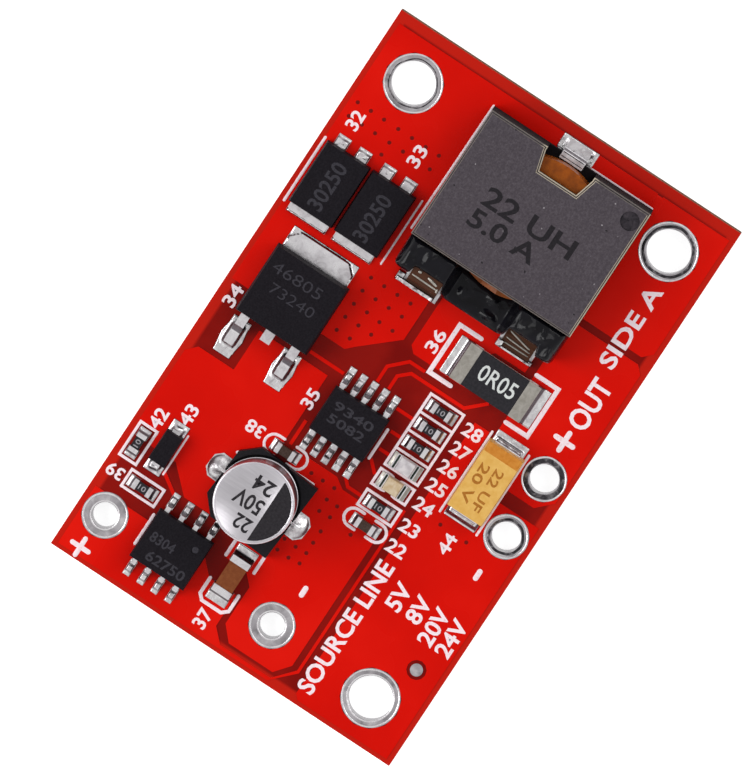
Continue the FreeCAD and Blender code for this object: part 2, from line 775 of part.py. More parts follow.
def make_coil():
    """Flat wire wound on edge: level turns, each stepped up to the next on the left,
    with both ends run out to the left and formed down to feet."""
    inner, outer, thick = mm("coil_inner / 2"), mm("coil_outer / 2"), mm("wire_thick")
    step, rise, levels = mm("step_angle"), mm("turn_pitch"), int(mm("coil_levels"))
    floor = mm("core_base")

    def section(angle, height):
        low, high = Vector(inner, 0, height), Vector(outer, 0, height)
        up = Vector(0, 0, thick)
        wire = Part.makePolygon([low, high, high + up, low + up, low])
        wire.rotate(Vector(0, 0, 0), Vector(0, 0, 1), angle)
        return wire

    pieces = []
    for level in range(levels):
        height = floor + level * rise
        start = -90 if level == 0 else -180 + step
        end = 90 if level == levels - 1 else 180 - step
        turn = Part.Face(section(start, height)).revolve(Vector(0, 0, 0), Vector(0, 0, 1), end - start)
        pieces.append(turn)
        if level < levels - 1:
            ends = [section(180 - step, height), section(180 + step, height + rise)]
            pieces.append(Part.makeLoft(ends, True, True))
    row, width, bend, drop = mm(wire_row), mm(wire_width), mm("wire_bend"), -mm("wire_drop")
    for side, height, lean in ((-1, floor, mm("low_wire_lean")), (1, floor + (levels - 1) * rise, 0)):
        lap = thick if lean == 0 else thick / 2
        toe = drop - mm("wire_foot")
        path = [(0, height), (drop + lean, height), (drop, 0), (toe, 0), (toe, thick), (drop - lap, thick),
                (drop + lean - lap, height + thick), (0, height + thick)]
        pieces.append(bent_strip(path, width, side * row, bend))
    coil = doc.addObject("Part::Feature", "wound_wire")
    coil.Shape = pieces[0].multiFuse(pieces[1:]).removeSplitter()
    node("inductor_coil", coil, inductor_x, inductor_y, SEAT)
    for side in ("-", "+"):
        land(inductor_x, inductor_y + " %s %s" % (side, wire_row), "wire_drop - wire_land_side",
             "wire_drop + wire_foot + wire_land_toe", wire_width + " + 2 * wire_land_side", 180)
    return coil


def make_header(coil):
    """The glossy black end block, moulded round the wire's two ends."""
    body = new_body("header_moulded")
    end = sketch_on(body, "YZ_Plane", "header_end", core_left)
    half = "inductor_width / 2"
    add_outline(end, [
        ("-" + half, "0"), (half, "0"), (half, "header_top - header_slope"),
        (half + " - header_slope", "header_top"), ("header_shoulder", "header_top"),
        ("header_shoulder - header_slope", "header_saddle"),
        ("header_slope - header_shoulder", "header_saddle"), ("-header_shoulder", "header_top"),
        ("header_slope - " + half, "header_top"), ("-" + half, "header_top - header_slope"),
    ])
    block = pad(body, "header_block", end, "header_reach + " + core_left, down=True)
    outer, flank = -mm("header_reach"), mm(half)
    dress(body, "Fillet", "header_corners", block, "header_corner",
          lambda edge, middle: near(middle.x, outer) and near(abs(middle.y), flank))
    relief = sketch_on(body, "XY_Plane", "header_reliefs", "header_top")
    add_circle(relief, "0", "0", "coil_outer + 2 * coil_clearance")
    pocket(body, "coil_relief", relief, "header_top")
    recess = sketch_on(body, "XY_Plane", "foot_recesses", "header_top")
    add_mirrored(recess, corners_of(
        "-header_reach - 1", "%s - %s / 2 - recess_clearance" % (wire_row, wire_width),
        "-header_recess", "%s + %s / 2 + recess_clearance" % (wire_row, wire_width)), "y")
    pocket(body, "foot_slots", recess, "header_top")
    place(body, inductor_x, inductor_y, SEAT)
    node("inductor_header", cut("header", body, coil))


def make_clip():
    """The tinned tab that solders the core's right edge down."""
    body = new_body("clip_formed")
    side = sketch_on(body, "XZ_Plane", "clip_side")
    inside, root, toe = CORE_RIGHT + " + clip_play", CORE_RIGHT + " - clip_grip", CORE_RIGHT + " + clip_foot"
    add_outline(side, [
        (root, "core_base"), (inside, "core_base"), (inside, "0"), (toe, "0"), (toe, "clip_thick"),
        (inside + " + clip_thick", "clip_thick"), (inside + " + clip_thick", "core_base + clip_thick"),
        (root, "core_base + clip_thick"),
    ])
    strip = pad(body, "clip_strip", side, "clip_width", both_ways=True)
    outer = mm(inside + " + clip_thick")
    dress(body, "Fillet", "clip_bends", strip, "clip_bend",
          lambda edge, middle: runs_along(edge, "y") and near(middle.x, outer))
    node("inductor_clip", body, inductor_x, inductor_y, SEAT)
    land(inductor_x, inductor_y, CORE_RIGHT, CORE_RIGHT + " + clip_foot + clip_land_toe",
         "clip_width + 2 * clip_land_side")


def make_capacitor():
    """The can capacitor: drawn can, rubber bung, moulded base and two straps."""
    x, y, turn = capacitor_x, capacitor_y, "capacitor_turn"
    can_foot = "base_floor + bung_height"

    can = new_body("can_drawn")
    side = sketch_on(can, "XZ_Plane", "can_side")
    radius = "can_width / 2"
    add_outline(side, [
        ("0", can_foot), (radius, can_foot),
        (radius, can_foot + " + can_crimp_height - can_crimp_depth"),
        (radius + " - can_crimp_depth", can_foot + " + can_crimp_height"),
        (radius, can_foot + " + can_crimp_height + can_crimp_depth"),
        (radius, can_foot + " + can_height"), (radius + " - can_rim", can_foot + " + can_height"),
        (radius + " - can_rim - can_dish", can_foot + " + can_height - can_dish"),
        ("0", can_foot + " + can_height - can_dish"),
    ])
    turned = can.newObject("PartDesign::Revolution", "can_turning")
    turned.Profile = side
    turned.ReferenceAxis = (side, ["V_Axis"])
    turned.Angle = 360
    doc.recompute()
    top, rim = mm(can_foot + " + can_height"), mm(radius)
    dress(can, "Fillet", "can_shoulder", turned, "can_round",
          lambda edge, middle: near(middle.z, top) and near(getattr(edge.Curve, "Radius", 0), rim))
    node("capacitor_can", can, x, y, SEAT, turn)

    bung = new_body("bung_moulded")
    disc = sketch_on(bung, "XY_Plane", "bung_disc", "base_floor")
    add_circle(disc, "0", "0", "bung_width")
    pad(bung, "bung_plug", disc, "bung_height")
    node("capacitor_bung", bung, x, y, SEAT, turn)

    for label, sign in (("capacitor_plus_strap", ""), ("capacitor_minus_strap", "-")):
        strap = new_body(label + "_formed")
        profile = sketch_on(strap, "YZ_Plane", label + "_side")
        root, riser, toe = sign + "strap_root", sign + "(strap_root + strap_riser)", sign + "strap_toe"
        add_outline(profile, [
            (root, "0"), (toe, "0"), (toe, "strap_thick"), (riser, "strap_thick"), (riser, "base_floor"),
            (root, "base_floor"),
        ])
        pad(strap, label + "_strip", profile, "strap_width", both_ways=True)
        node(label, strap, x, y, SEAT, turn)

    base = new_body("base_moulded")
    square = sketch_on(base, "XY_Plane", "base_square")
    half = "base_width / 2"
    add_outline(square, [
        ("-" + half, "-" + half), (half, "-" + half), (half, half + " - base_chamfer"),
        (half + " - base_chamfer", half), ("base_chamfer - " + half, half),
        ("-" + half, half + " - base_chamfer"),
    ])
    pad(base, "base_block", square, "base_post")
    seat = sketch_on(base, "XY_Plane", "can_seat", "base_post")
    add_circle(seat, "0", "0", "can_width + 2 * base_clearance")
    pocket(base, "can_pocket", seat, "base_post - base_floor")
    place(base, x, y, SEAT, turn)
    straps = nodes["capacitor_plus_strap"], nodes["capacitor_minus_strap"]
    node("capacitor_base", cut("capacitor_base", base, *straps))

    land_pair(x, y, "strap_land_start", "strap_land_end", "strap_land_width", mm(turn) + 90,
              "strap_land_corner")


def make_shunt():
    """The current-sense resistor: ceramic slab, dark coat and plated ends."""
    x, y = shunt_x, shunt_y
    slab = new_body("shunt_slab")
    outline = sketch_on(slab, "XY_Plane", "shunt_slab_outline", "shunt_plate")
    add_rectangle(outline, "-shunt_width / 2", "-shunt_length / 2 + shunt_plate",
                  "shunt_width / 2", "shunt_length / 2 - shunt_plate")
    pad(slab, "shunt_ceramic", outline, "shunt_thick")
    node("shunt_slab", slab, x, y, SEAT)

    coat = new_body("shunt_coating")
    cover = sketch_on(coat, "XY_Plane", "shunt_coat_outline", "shunt_plate + shunt_thick")
    add_rectangle(cover, "-shunt_width / 2", "shunt_end - shunt_length / 2",
                  "shunt_width / 2", "shunt_length / 2 - shunt_end")
    layer = pad(coat, "shunt_glaze", cover, "shunt_coat")
    top = mm("shunt_plate + shunt_thick + shunt_coat")
    dress(coat, "Chamfer", "shunt_glaze_rim", layer, "shunt_coat / 2",
          lambda edge, middle: near(middle.z, top))
    node("shunt_coat", coat, x, y, SEAT)

    ends = new_body("shunt_plating")
    profile = sketch_on(ends, "YZ_Plane", "shunt_end_side")
    root, skin, tip = "shunt_length / 2 - shunt_end", "shunt_length / 2 - shunt_plate", "shunt_length / 2"
    above, top = "shunt_thick + shunt_plate", "shunt_thick + 2 * shunt_plate"
    add_mirrored(profile, [
        (root, "0"), (tip, "0"), (tip, top), (root, top), (root, above), (skin, above), (skin, "shunt_plate"),
        (root, "shunt_plate"),
    ])
    pad(ends, "shunt_end_caps", profile, "shunt_width", both_ways=True)
    node("shunt_ends", ends, x, y, SEAT)
    land_pair(x, y, "shunt_land_start", "shunt_land_end", "shunt_width + 2 * shunt_land_side", 90)


def make_tantalum():
    """The moulded tantalum capacitor, its straps folded down its ends and under it."""
    x = tantalum_x
    y = FRONT + " + output_inset_front + output_ring / 2 + tantalum_front_gap + tantalum_width / 2"
    straps = new_body("tantalum_straps_formed")
    profile = sketch_on(straps, "XZ_Plane", "tantalum_strap_side")
    face = "tantalum_length / 2"
    foot, root, outside = face + " - tantalum_foot", face + " - tantalum_root", face + " + tantalum_strap"
    low, high = "tantalum_parting", "tantalum_parting + tantalum_strap"
    add_mirrored(profile, [
        (foot, "0"), (outside, "0"), (outside, high), (root, high), (root, low), (face, low),
        (face, "tantalum_strap"), (foot, "tantalum_strap"),
    ])
    strip = pad(straps, "tantalum_strap_strip", profile, "tantalum_strap_width", both_ways=True)
    outer = mm(outside)
    dress(straps, "Fillet", "tantalum_strap_bends", strip, "tantalum_bend",
          lambda edge, middle: runs_along(edge, "y") and near(abs(middle.x), outer))
    node("tantalum_straps", straps, x, y, SEAT)
    body = moulded_block("tantalum", "tantalum_length", "tantalum_width", "tantalum_strap",
                         "tantalum_parting", "tantalum_top", "tantalum_draft")
    place(body, x, y, SEAT)
    node("tantalum_body", cut("tantalum", body, straps))
    land_pair(x, y, "tantalum_land_start", "tantalum_land_end",
              "tantalum_strap_width + 2 * tantalum_land_side")


def make_diode():
    """The small-signal diode with two flat-footed leads."""
    x = back_resistor[0] + " + diode_offset"
    y = back_resistor[1] + " - chip_width / 2 - diode_gap - diode_width / 2"
    leads = new_body("diode_leads_formed")
    profile = sketch_on(leads, "XZ_Plane", "diode_lead_side")
    root, tip = "diode_length / 2 - diode_root", "diode_span / 2"
    knee, ankle = "diode_length / 2 + diode_knee", "diode_length / 2 + diode_ankle"
    high = "diode_parting + diode_lead_thick"
    add_mirrored(profile, [
        (root, "diode_parting"), (knee, "diode_parting"), (ankle, "0"), (tip, "0"), (tip, "diode_lead_thick"),
        (ankle + " + diode_lead_thick", "diode_lead_thick"), (knee + " + diode_lead_thick", high),
        (root, high),
    ])
    pad(leads, "diode_lead_strip", profile, "diode_lead_width", both_ways=True)
    node("diode_leads", leads, x, y, SEAT)
    body = moulded_block("diode", "diode_length", "diode_width", "package_lift", "diode_parting",
                         "diode_top", "package_draft")
    place(body, x, y, SEAT)
    node("diode_body", cut("diode", body, leads))
    land_pair(x, y, "diode_land_start", "diode_land_end", "diode_land_width")


end_cups = []


def make_chip(label, x, y, family, thick, turn):
    """A chip part: its ceramic block is a node, and its end cups join a shared one."""
    length, width, end = family + "_length", family + "_width", family + "_end"
    block = doc.addObject("Part::Box", label + "_block")
    cup = doc.addObject("Part::Box", label + "_cup_envelope")
    for box, grow in ((block, "0"), (cup, "cup_wall")):
        box.setExpression("Length", bound("%s - 2 * cup_wall + 2 * %s" % (length, grow)))
        box.setExpression("Width", bound("%s - 2 * cup_wall + 2 * %s" % (width, grow)))
        box.setExpression("Height", bound("%s - 2 * cup_wall + 2 * %s" % (thick, grow)))
    doc.recompute()
    corner = Vector(-mm(length) / 2, -mm(width) / 2, 0)
    wall = mm("cup_wall")
    spin = FreeCAD.Rotation(Vector(0, 0, 1), turn)
    seat = Vector(mm(x), mm(y), mm(SEAT))
    block.Placement = FreeCAD.Placement(seat + spin.multVec(corner + Vector(wall, wall, wall)), spin)
    block.Label = label
    nodes[label] = block
    cup.Placement = FreeCAD.Placement(seat + spin.multVec(corner), spin)
    middle = Part.makeBox(mm(length) - 2 * mm(end), mm(width) + 2, mm(thick) + 2,
                          Vector(mm(end) - mm(length) / 2, -mm(width) / 2 - 1, -1))
    middle.Placement = FreeCAD.Placement(seat, spin)
    doc.recompute()
    end_cups.extend(cup.Shape.cut(middle).cut(block.Shape).Solids)
    doc.removeObject(cup.Name)
    land_pair(x, y, family + "_land_start", family + "_land_end", width + " + 2 * chip_land_side", turn)


def make_chips():
    resistors = [(row_x + " - %d * (chip_width + row_gap)" % number, row_y, 90) for number in range(3)]
    last_x = amber_lamp_x + " - lamp_width / 2 - row_left_gap - chip_width / 2"
    resistors += [(last_x, row_y, 90), (*back_resistor, 0), (*side_resistor, 90)]
    for number, (x, y, turn) in enumerate(resistors, 1):
        make_chip("chip_resistor_%d" % number, x, y, "chip", "resistor_thick", turn)
    bypass_x = capacitor_x + " + base_width / 2 + bypass_gap + chip_width / 2"
    make_chip("chip_capacitor_1", bypass_x, capacitor_y + " + bypass_offset", "chip",
              "chip_capacitor_thick", 90)
    filter_x = last_x + " - chip_width - filter_gap"
    make_chip("chip_capacitor_2", filter_x, row_y + " + filter_offset", "chip", "chip_capacitor_thick", 90)
    big_chip_y = switch_y + " - switch_width / 2 - big_chip_gap - big_chip_width / 2"
    make_chip("chip_capacitor_3", LEFT + " + big_chip_inset_left", big_chip_y, "big_chip",
              "big_chip_thick", 0)
    cups = doc.addObject("Part::Feature", "end_cups")
    cups.Shape = Part.makeCompound(end_cups)
    cups.Label = "chip_end_cups"
    nodes["chip_end_cups"] = cups


def make_lamp(label, x):
    """An indicator lamp: printed base, cast lens, plated ends."""
    y = row_y
    base = new_body(label + "_base_cut")
    plate = sketch_on(base, "XY_Plane", label + "_base_outline")
    add_rectangle(plate, "-lamp_width / 2", "lamp_end - lamp_length / 2",
                  "lamp_width / 2", "lamp_length / 2 - lamp_end")
    pad(base, label + "_base_plate", plate, "lamp_base")
    node(label + "_base", base, x, y, SEAT)
    lens = new_body(label + "_lens_cast")
    foot = sketch_on(lens, "XY_Plane", label + "_lens_outline", "lamp_base")
    add_rectangle(foot, "-lamp_width / 2", "-lamp_lens_length / 2", "lamp_width / 2", "lamp_lens_length / 2")
    pad(lens, label + "_lens_block", foot, "lamp_lens_height", draft="lamp_draft")
    node(label + "_lens", lens, x, y, SEAT)
    ends = new_body(label + "_ends_plated")
    tips = sketch_on(ends, "XY_Plane", label + "_end_outlines")
    add_mirrored(tips, corners_of(
        "-lamp_width / 2", "lamp_length / 2 - lamp_end", "lamp_width / 2", "lamp_length / 2"), "y")
    pad(ends, label + "_end_plating", tips, "lamp_base")
    node(label + "_ends", ends, x, y, SEAT)
    land_pair(x, y, "lamp_land_start", "lamp_land_end", "lamp_width", 90)


def strip_outline(points, width):
    """The outline of a trace: its middle line moved half its width to each side."""
    sides = []
    for sign in (1, -1):
        line = []
        for index, (px, py) in enumerate(points):
            here = Vector(px, py, 0)
            before = (here - Vector(*points[index - 1], 0)).normalize() if index else None
            after = (Vector(*points[index + 1], 0) - here).normalize() if index < len(points) - 1 else None
            way = (before or after) + (after or before)
            way.normalize()
            across = Vector(-way.y, way.x, 0)
            straight = after or before
            stretch = across.dot(Vector(-straight.y, straight.x, 0))
            line.append(here + across * (sign * width / 2 / stretch))
        sides.append(line)
    return sides[0] + sides[1][::-1]


def make_foil():
    """The copper under the mask: poured areas and thin traces, cleared round lands and rings."""
    left, right = mm(LEFT + " + foil_margin_left"), mm(RIGHT + " - foil_margin_right")
    front, back = mm(FRONT + " + foil_margin"), mm(BACK + " - foil_margin")
    gap = mm("foil_gap")
    input_feed = [
        (left, back), (left + 5.25, back), (left + 5.25, 5.0), (left + 4.15, 3.9), (left + 4.15, 1.45),
        (left + 1.35, 1.45), (left + 0.3, 0.4), (left + 0.3, -4.2), (left + 1.9, -5.6), (-7.4, -5.6),
        (-7.4, -5.85), (left + 1.8, -5.85), (left, -4.1),
    ]
    switched_feed = [
        (left + 11.25, back), (-6.4, back), (-5.6, back - 0.75), (-5.6, 11.1), (-2.0, 11.1),
        (-2.0, 4.85), (left + 8.25, 4.85), (left + 8.25, 8.9), (left + 10.15, 10.9),
        (left + 10.15, back - 1.75), (left + 11.25, back - 1.75),
    ]
    switch_node = [
        (0.2, back), (right, back), (right, -9.0 + gap), (9.5, -9.0 + gap), (9.5, 1.5), (3.5, 1.5),
        (1.0, 4.3), (0.4, 4.9), (0.4, 7.0), (0.2, 7.2),
    ]
    input_return = [
        (left + 0.3 + gap, -0.1), (left + 1.9, 0.95), (left + 5.25, 0.95), (left + 6.15, 1.85),
        (left + 6.15, 3.7), (-8.1, 3.7), (-8.1, 0.0), (-8.7, -0.9), (-8.7, -5.1), (left + 2.0, -5.1),
        (left + 0.3 + gap, -4.1),
    ]
    coil_feed = [
        (3.5, 0.8), (8.8, 0.8), (8.8, -7.6), (6.5, -7.6), (6.5, -4.9), (6.0, -4.4), (3.0, -4.4), (3.0, 0.3),
    ]
    ground = [
        (left, -6.9), (left + 0.4, -6.5), (1.2, -6.5), (1.2, -7.85), (-2.9, -7.85), (-2.9, front),
        (left, front),
    ]
    output_feed = [
        (-1.8, -8.3), (11.8, -8.3), (11.8, front + 0.6), (11.2, front), (-0.6, front), (-1.8, front + 1.2),
    ]
    output_return = [
        (12.4, -9.0), (right, -9.0), (right, front), (13.1, front), (12.4, front + 0.7),
    ]
    traces = [
        [(left + 8.95, 11.6), (left + 8.95, 11.1), (left + 7.95, 9.6)],
        [(-8.0, 4.35), (-5.8, 4.35)],
        [(-1.2, 7.0), (-1.2, 3.9)],
        [(-0.3, 1.45), (1.1, 1.45), (2.35, 0.2), (2.35, -1.2)],
        [(-0.3, 0.4), (0.9, 0.4), (1.65, -0.4), (1.65, -5.2), (3.0, -6.6)],
        [(-1.2, -0.9), (-1.2, -2.4)],
        [(-8.3, -2.4), (-8.3, -1.1), (-7.6, -0.4)],
        [(-6.35, -2.3), (-5.5, -1.4)],
        [(-4.5, -1.5), (-4.5, -2.4)],
        [(-2.9, -1.5), (-2.9, -2.4)],
    ]
    pours = [input_feed, switched_feed, switch_node, input_return, coil_feed, ground, output_feed,
             output_return]
    outlines = [[Vector(px, py, 0) for px, py in pour] for pour in pours]
    outlines += [strip_outline(trace, mm("trace_width")) for trace in traces]
    lift, up = Vector(0, 0, mm("board_thick")), Vector(0, 0, mm("foil_height"))
    sheets = []
    for outline in outlines:
        face = Part.Face(Part.makePolygon([corner + lift for corner in outline + outline[:1]]))
        sheets.append(face.extrude(up))
    rounds = [(mm(kind + "_ring"), x, y) for kind, x, y in holes] + [(mm("test_pad_clearance"), *test_pad)]
    clear = list(lands)
    for width, x, y in rounds:
        corner = Vector(width / 2 / math.cos(math.pi / CLEARANCE_SIDES), 0, 0)
        corners = [FreeCAD.Rotation(Vector(0, 0, 1), 360 * index / CLEARANCE_SIDES).multVec(corner)
                   for index in range(CLEARANCE_SIDES + 1)]
        room = Part.Face(Part.makePolygon(corners)).extrude(up)
        room.translate(Vector(mm(x), mm(y), lift.z))
        clear.append(room)
    foil = sheets[0].multiFuse(sheets[1:]).cut(Part.makeCompound(clear))
    feature = doc.addObject("Part::Feature", "masked_foil")
    feature.Shape = foil.removeSplitter()
    feature.Label = "copper_pattern"
    nodes["copper_pattern"] = feature


def make_lands():
    feature = doc.addObject("Part::Feature", "tinned_lands")
    feature.Shape = Part.makeCompound(lands)
    feature.Label = "solder_lands"
    nodes["solder_lands"] = feature


make_board()
for number, (x, y) in enumerate(mounting_holes, 1):
    make_ring("mounting_ring_%d" % number, "mounting", x, y)
for label, (kind, x, y) in wire_holes.items():
    make_ring(label, kind, x, y)
make_test_pad()
make_transistor()
for number in (1, 2):
    make_rectifier(number)
make_gull_package("controller", controller_x, controller_y, None)
make_gull_package("switch", switch_x, switch_y,
                  ("switch_body / 2 - pin_mark_inset_end", "pin_mark_inset - switch_width / 2"))
make_lower_core()
make_upper_core()
make_header(make_coil())
make_clip()
make_capacitor()
make_shunt()
make_tantalum()
make_diode()
make_chips()
make_lamp("amber_lamp", amber_lamp_x)
make_lamp("clear_lamp", clear_lamp_x)
make_lands()
make_foil()
doc.recompute()

for thing in doc.Objects:
    if "Invalid" in thing.State or "Error" in thing.State:
        raise RuntimeError("%s failed: %s" % (thing.Name, thing.State))
for label, thing in nodes.items():
    if thing.Shape.isNull() or not thing.Shape.isValid():
        raise RuntimeError("%s has no sound shape" % label)

os.makedirs("parts", exist_ok=True)
for label, thing in nodes.items():
    thing.Shape.exportStep("parts/%s.step" % label)
print("%d nodes" % len(nodes))
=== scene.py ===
# Solar battery charger module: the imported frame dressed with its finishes, solder, ink and small detail
import math

import bmesh
import bpy
import numpy as np
from mathutils import Matrix, Vector


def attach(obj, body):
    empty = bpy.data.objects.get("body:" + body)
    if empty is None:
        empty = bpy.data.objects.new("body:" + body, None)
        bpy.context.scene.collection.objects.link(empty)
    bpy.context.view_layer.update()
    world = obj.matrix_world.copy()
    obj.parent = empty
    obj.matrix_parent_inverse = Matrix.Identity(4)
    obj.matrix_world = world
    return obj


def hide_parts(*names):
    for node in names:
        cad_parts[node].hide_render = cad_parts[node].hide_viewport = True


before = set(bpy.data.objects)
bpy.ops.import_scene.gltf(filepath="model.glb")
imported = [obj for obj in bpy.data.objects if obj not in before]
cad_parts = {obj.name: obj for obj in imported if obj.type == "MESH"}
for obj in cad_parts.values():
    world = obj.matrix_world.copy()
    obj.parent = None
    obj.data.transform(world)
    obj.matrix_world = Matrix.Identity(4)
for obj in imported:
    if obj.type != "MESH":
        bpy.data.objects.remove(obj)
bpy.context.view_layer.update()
mm = 0.001  # every size below is in millimetres, but for the studio's lamps and floor
print("frame loaded:", len(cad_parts), "solids")

view = {"tilt": 6.0, "turn": 33.4, "distance": 1200.0, "frameHeight": 58.78, "aim": (0, 0, 1.6), "right": -1.58,
        "up": 0.28}


def placeCamera():  # almost straight down through a long lens, with the board's long side up to the right
    tilt, turn = math.radians(view["tilt"]), math.radians(view["turn"])
    along = Vector((math.cos(tilt), 0, -math.sin(tilt)))
    across = Vector((0, 1, 0))
    right = math.sin(turn) * along - math.cos(turn) * across
    up = math.cos(turn) * along + math.sin(turn) * across
    back = right.cross(up)
    place = Vector(view["aim"]) + view["right"] * right + view["up"] * up + view["distance"] * back
    camera = bpy.data.objects.new("photo_camera", bpy.data.cameras.new("photo_camera"))
    bpy.context.scene.collection.objects.link(camera)
    camera.matrix_world = Matrix.Translation(place * mm) @ Matrix((right, up, back)).transposed().to_4x4()
    camera.data.lens = camera.data.sensor_width * view["distance"] / view["frameHeight"]
    camera.data.clip_start, camera.data.clip_end = 0.05, 20
    bpy.context.scene.camera = camera


def hexColour(text):  # an sRGB hex value as linear light
    parts = np.array([int(text[i:i + 2], 16) for i in (0, 2, 4)]) / 255
    linear = np.where(parts <= 0.04045, parts / 12.92, ((parts + 0.055) / 1.055) ** 2.4)
    return (*linear.tolist(), 1.0)


def feed(node, links):  # gives each socket a number, a colour, another socket, or a node's first live output
    for socket, value in links.items():
        if isinstance(value, bpy.types.Node):
            value = next(output for output in value.outputs if output.enabled)
        if isinstance(value, bpy.types.NodeSocket):
            node.id_data.links.new(value, node.inputs[socket])
        else:
            node.inputs[socket].default_value = value


def addNode(tree, kind, links=None, **settings):  # one node, its settings, and what each socket gets
    node = tree.nodes.new("ShaderNode" + kind)
    for name, value in settings.items():
        if name == "stops":
            while len(node.color_ramp.elements) < len(value):
                node.color_ramp.elements.new(1)
            for element, (position, colour) in zip(node.color_ramp.elements, value):
                element.position, element.color = position, hexColour(colour)
        else:
            setattr(node, name, value)
    feed(node, links or {})
    return node


def spots(where, size, detail=2.0, roughness=0.5, distortion=0.0):  # what a noise gets for clouds size mm wide
    return {"Vector": where, "Scale": 1 / (size * mm), "Detail": detail, "Roughness": roughness,
            "Distortion": distortion}


def between(value, low, high, first=0.0, last=1.0):  # what a range gets: first at low, last at high
    return {"Value": value, "From Min": low, "From Max": high, "To Min": first, "To Max": last}


placeCamera()

studio = {"skyForObject": 0.55, "ceiling": (0.15, 0.9, 1.0, 0.62), "floor": "E6E6E6", "floorLift": 0.8,
          "floorHalf": 3.0, "floorDrop": 0.03 * mm,
          "lamps": {"window_lamp": ((-0.16, 0.33, 0.33), 0.3, 1.25), "fill_lamp": ((0.55, -0.35, 0.60), 0.5, 1.5)}}


def makeStudio():  # white all round, a dimmer ceiling for gloss to show, one wide soft lamp and a weaker one
    world = bpy.data.worlds.new("white_studio")
    bpy.context.scene.world = world
    world.use_nodes = True
    tree = world.node_tree
    rays = addNode(tree, "LightPath").outputs
    upwards = addNode(tree, "SeparateXYZ", {0: addNode(tree, "TexCoord").outputs["Generated"]}).outputs["Z"]
    ceiling = addNode(tree, "MapRange", between(upwards, *studio["ceiling"]), interpolation_type="SMOOTHSTEP")
    shown = addNode(tree, "Math", {0: rays["Is Camera Ray"], 1: rays["Is Transmission Ray"]}, operation="MAXIMUM")
    glossy = addNode(tree, "Math", {0: rays["Is Glossy Ray"], 1: ceiling}, operation="MULTIPLY")
    either = addNode(tree, "Math", {0: shown, 1: glossy}, operation="MAXIMUM")
    strength = addNode(tree, "Math", {0: either, 1: studio["skyForObject"]}, operation="MAXIMUM")
    plain = addNode(tree, "Mix", {0: rays["Is Glossy Ray"], 2: strength, 3: glossy}, data_type="FLOAT")
    feed(tree.nodes["Background"], {"Color": (1, 1, 1, 1), "Strength": plain})

    for name, (place, width, watts) in studio["lamps"].items():
        lamp = bpy.data.objects.new(name, bpy.data.lights.new(name, "AREA"))
        bpy.context.scene.collection.objects.link(lamp)
        lamp.data.size, lamp.data.energy = width, watts
        lamp.visible_camera = False
        lamp.matrix_world = (Matrix.Translation(Vector(place))
                             @ Vector(place).to_track_quat("Z", "Y").to_matrix().to_4x4())

    half, down = studio["floorHalf"], -studio["floorDrop"]
    mesh = bpy.data.meshes.new("studio_floor")
    mesh.from_pydata([(-half, -half, down), (half, -half, down), (half, half, down), (-half, half, down)], [],
                     [(0, 1, 2, 3)])
    floor = bpy.data.objects.new("studio_floor", mesh)
    bpy.context.scene.collection.objects.link(floor)
    paper = bpy.data.materials.new("matt_white_paper")  # no shine, and white where it is seen or mirrored
    paper.use_nodes = True
    tree = paper.node_tree
    rays = addNode(tree, "LightPath").outputs
    seen = addNode(tree, "Math", {0: rays["Is Camera Ray"], 1: rays["Is Glossy Ray"]}, operation="MAXIMUM")
    seen = addNode(tree, "Math", {0: seen, 1: rays["Is Transmission Ray"]}, operation="MAXIMUM")
    lift = addNode(tree, "Math", {0: seen, 1: studio["floorLift"]}, operation="MULTIPLY")
    feed(tree.nodes["Principled BSDF"], {"Base Color": hexColour(studio["floor"]), "Roughness": 1,
                                         "Specular IOR Level": 0, "Emission Color": (1, 1, 1, 1),
                                         "Emission Strength": lift})
    mesh.materials.append(paper)
    bpy.context.scene.view_settings.view_transform = "Standard"


makeStudio()
print("camera, floor and light placed")


def startFinish(name, roughness, metallic=0.0, gloss=0.5, coat=0.0, coatRoughness=0.1, through=0.0):
    material = bpy.data.materials.new(name)
    material.use_nodes = True
    tree = material.node_tree
    shader = tree.nodes["Principled BSDF"]
    feed(shader, {"Roughness": roughness, "Metallic": metallic, "Specular IOR Level": gloss, "Coat Weight": coat,
                  "Coat Roughness": coatRoughness})
    if through:
        feed(shader, {"Transmission Weight": through, "IOR": 1.5})  # cast epoxy
    return material, tree, shader, addNode(tree, "TexCoord").outputs


def makeFinish(name, stops, noise, roughness, bump, skin=None, sway=None, patches=None, fade=None, bothSides=False,
               stretch=None, **base):
    # what most finishes share: noise (spots in mm, detail, roughness, distortion) picks a colour between the stops and
    # gives the bump (mm, strength), unless skin is a noise for it; sway is the roughness at both ends of the noise, or
    # of patches; fade is a colour and where it gives way to the others; stretch draws the noise out along an axis
    material, tree, shader, place = startFinish(name, roughness, **base)
    where = addNode(tree, "Mapping", {"Vector": place["Object"], "Scale": stretch}) if stretch else place["Object"]
    clouds = addNode(tree, "TexNoise", spots(where, *noise))
    colour = addNode(tree, "ValToRGB", {"Fac": clouds}, stops=stops)
    if fade:
        other, space, axis, low, high = fade
        along = addNode(tree, "SeparateXYZ", {0: place[space]}).outputs[axis]
        if bothSides:
            along = addNode(tree, "Math", {0: along}, operation="ABSOLUTE")
        level = addNode(tree, "MapRange", between(along, low, high))
        colour = addNode(tree, "Mix", {0: level, 6: hexColour(other), 7: colour}, data_type="RGBA")
    relief, worn = (addNode(tree, "TexNoise", spots(where, *own)) if own else clouds for own in (skin, patches))
    feed(shader, {"Base Color": colour, "Normal": addNode(tree, "Bump", {
        "Height": relief, "Distance": bump[0] * mm, "Strength": bump[1]})})
    if sway:
        feed(shader, {"Roughness": addNode(tree, "MapRange", between(worn, 0.3, 0.7, *sway))})
    return material


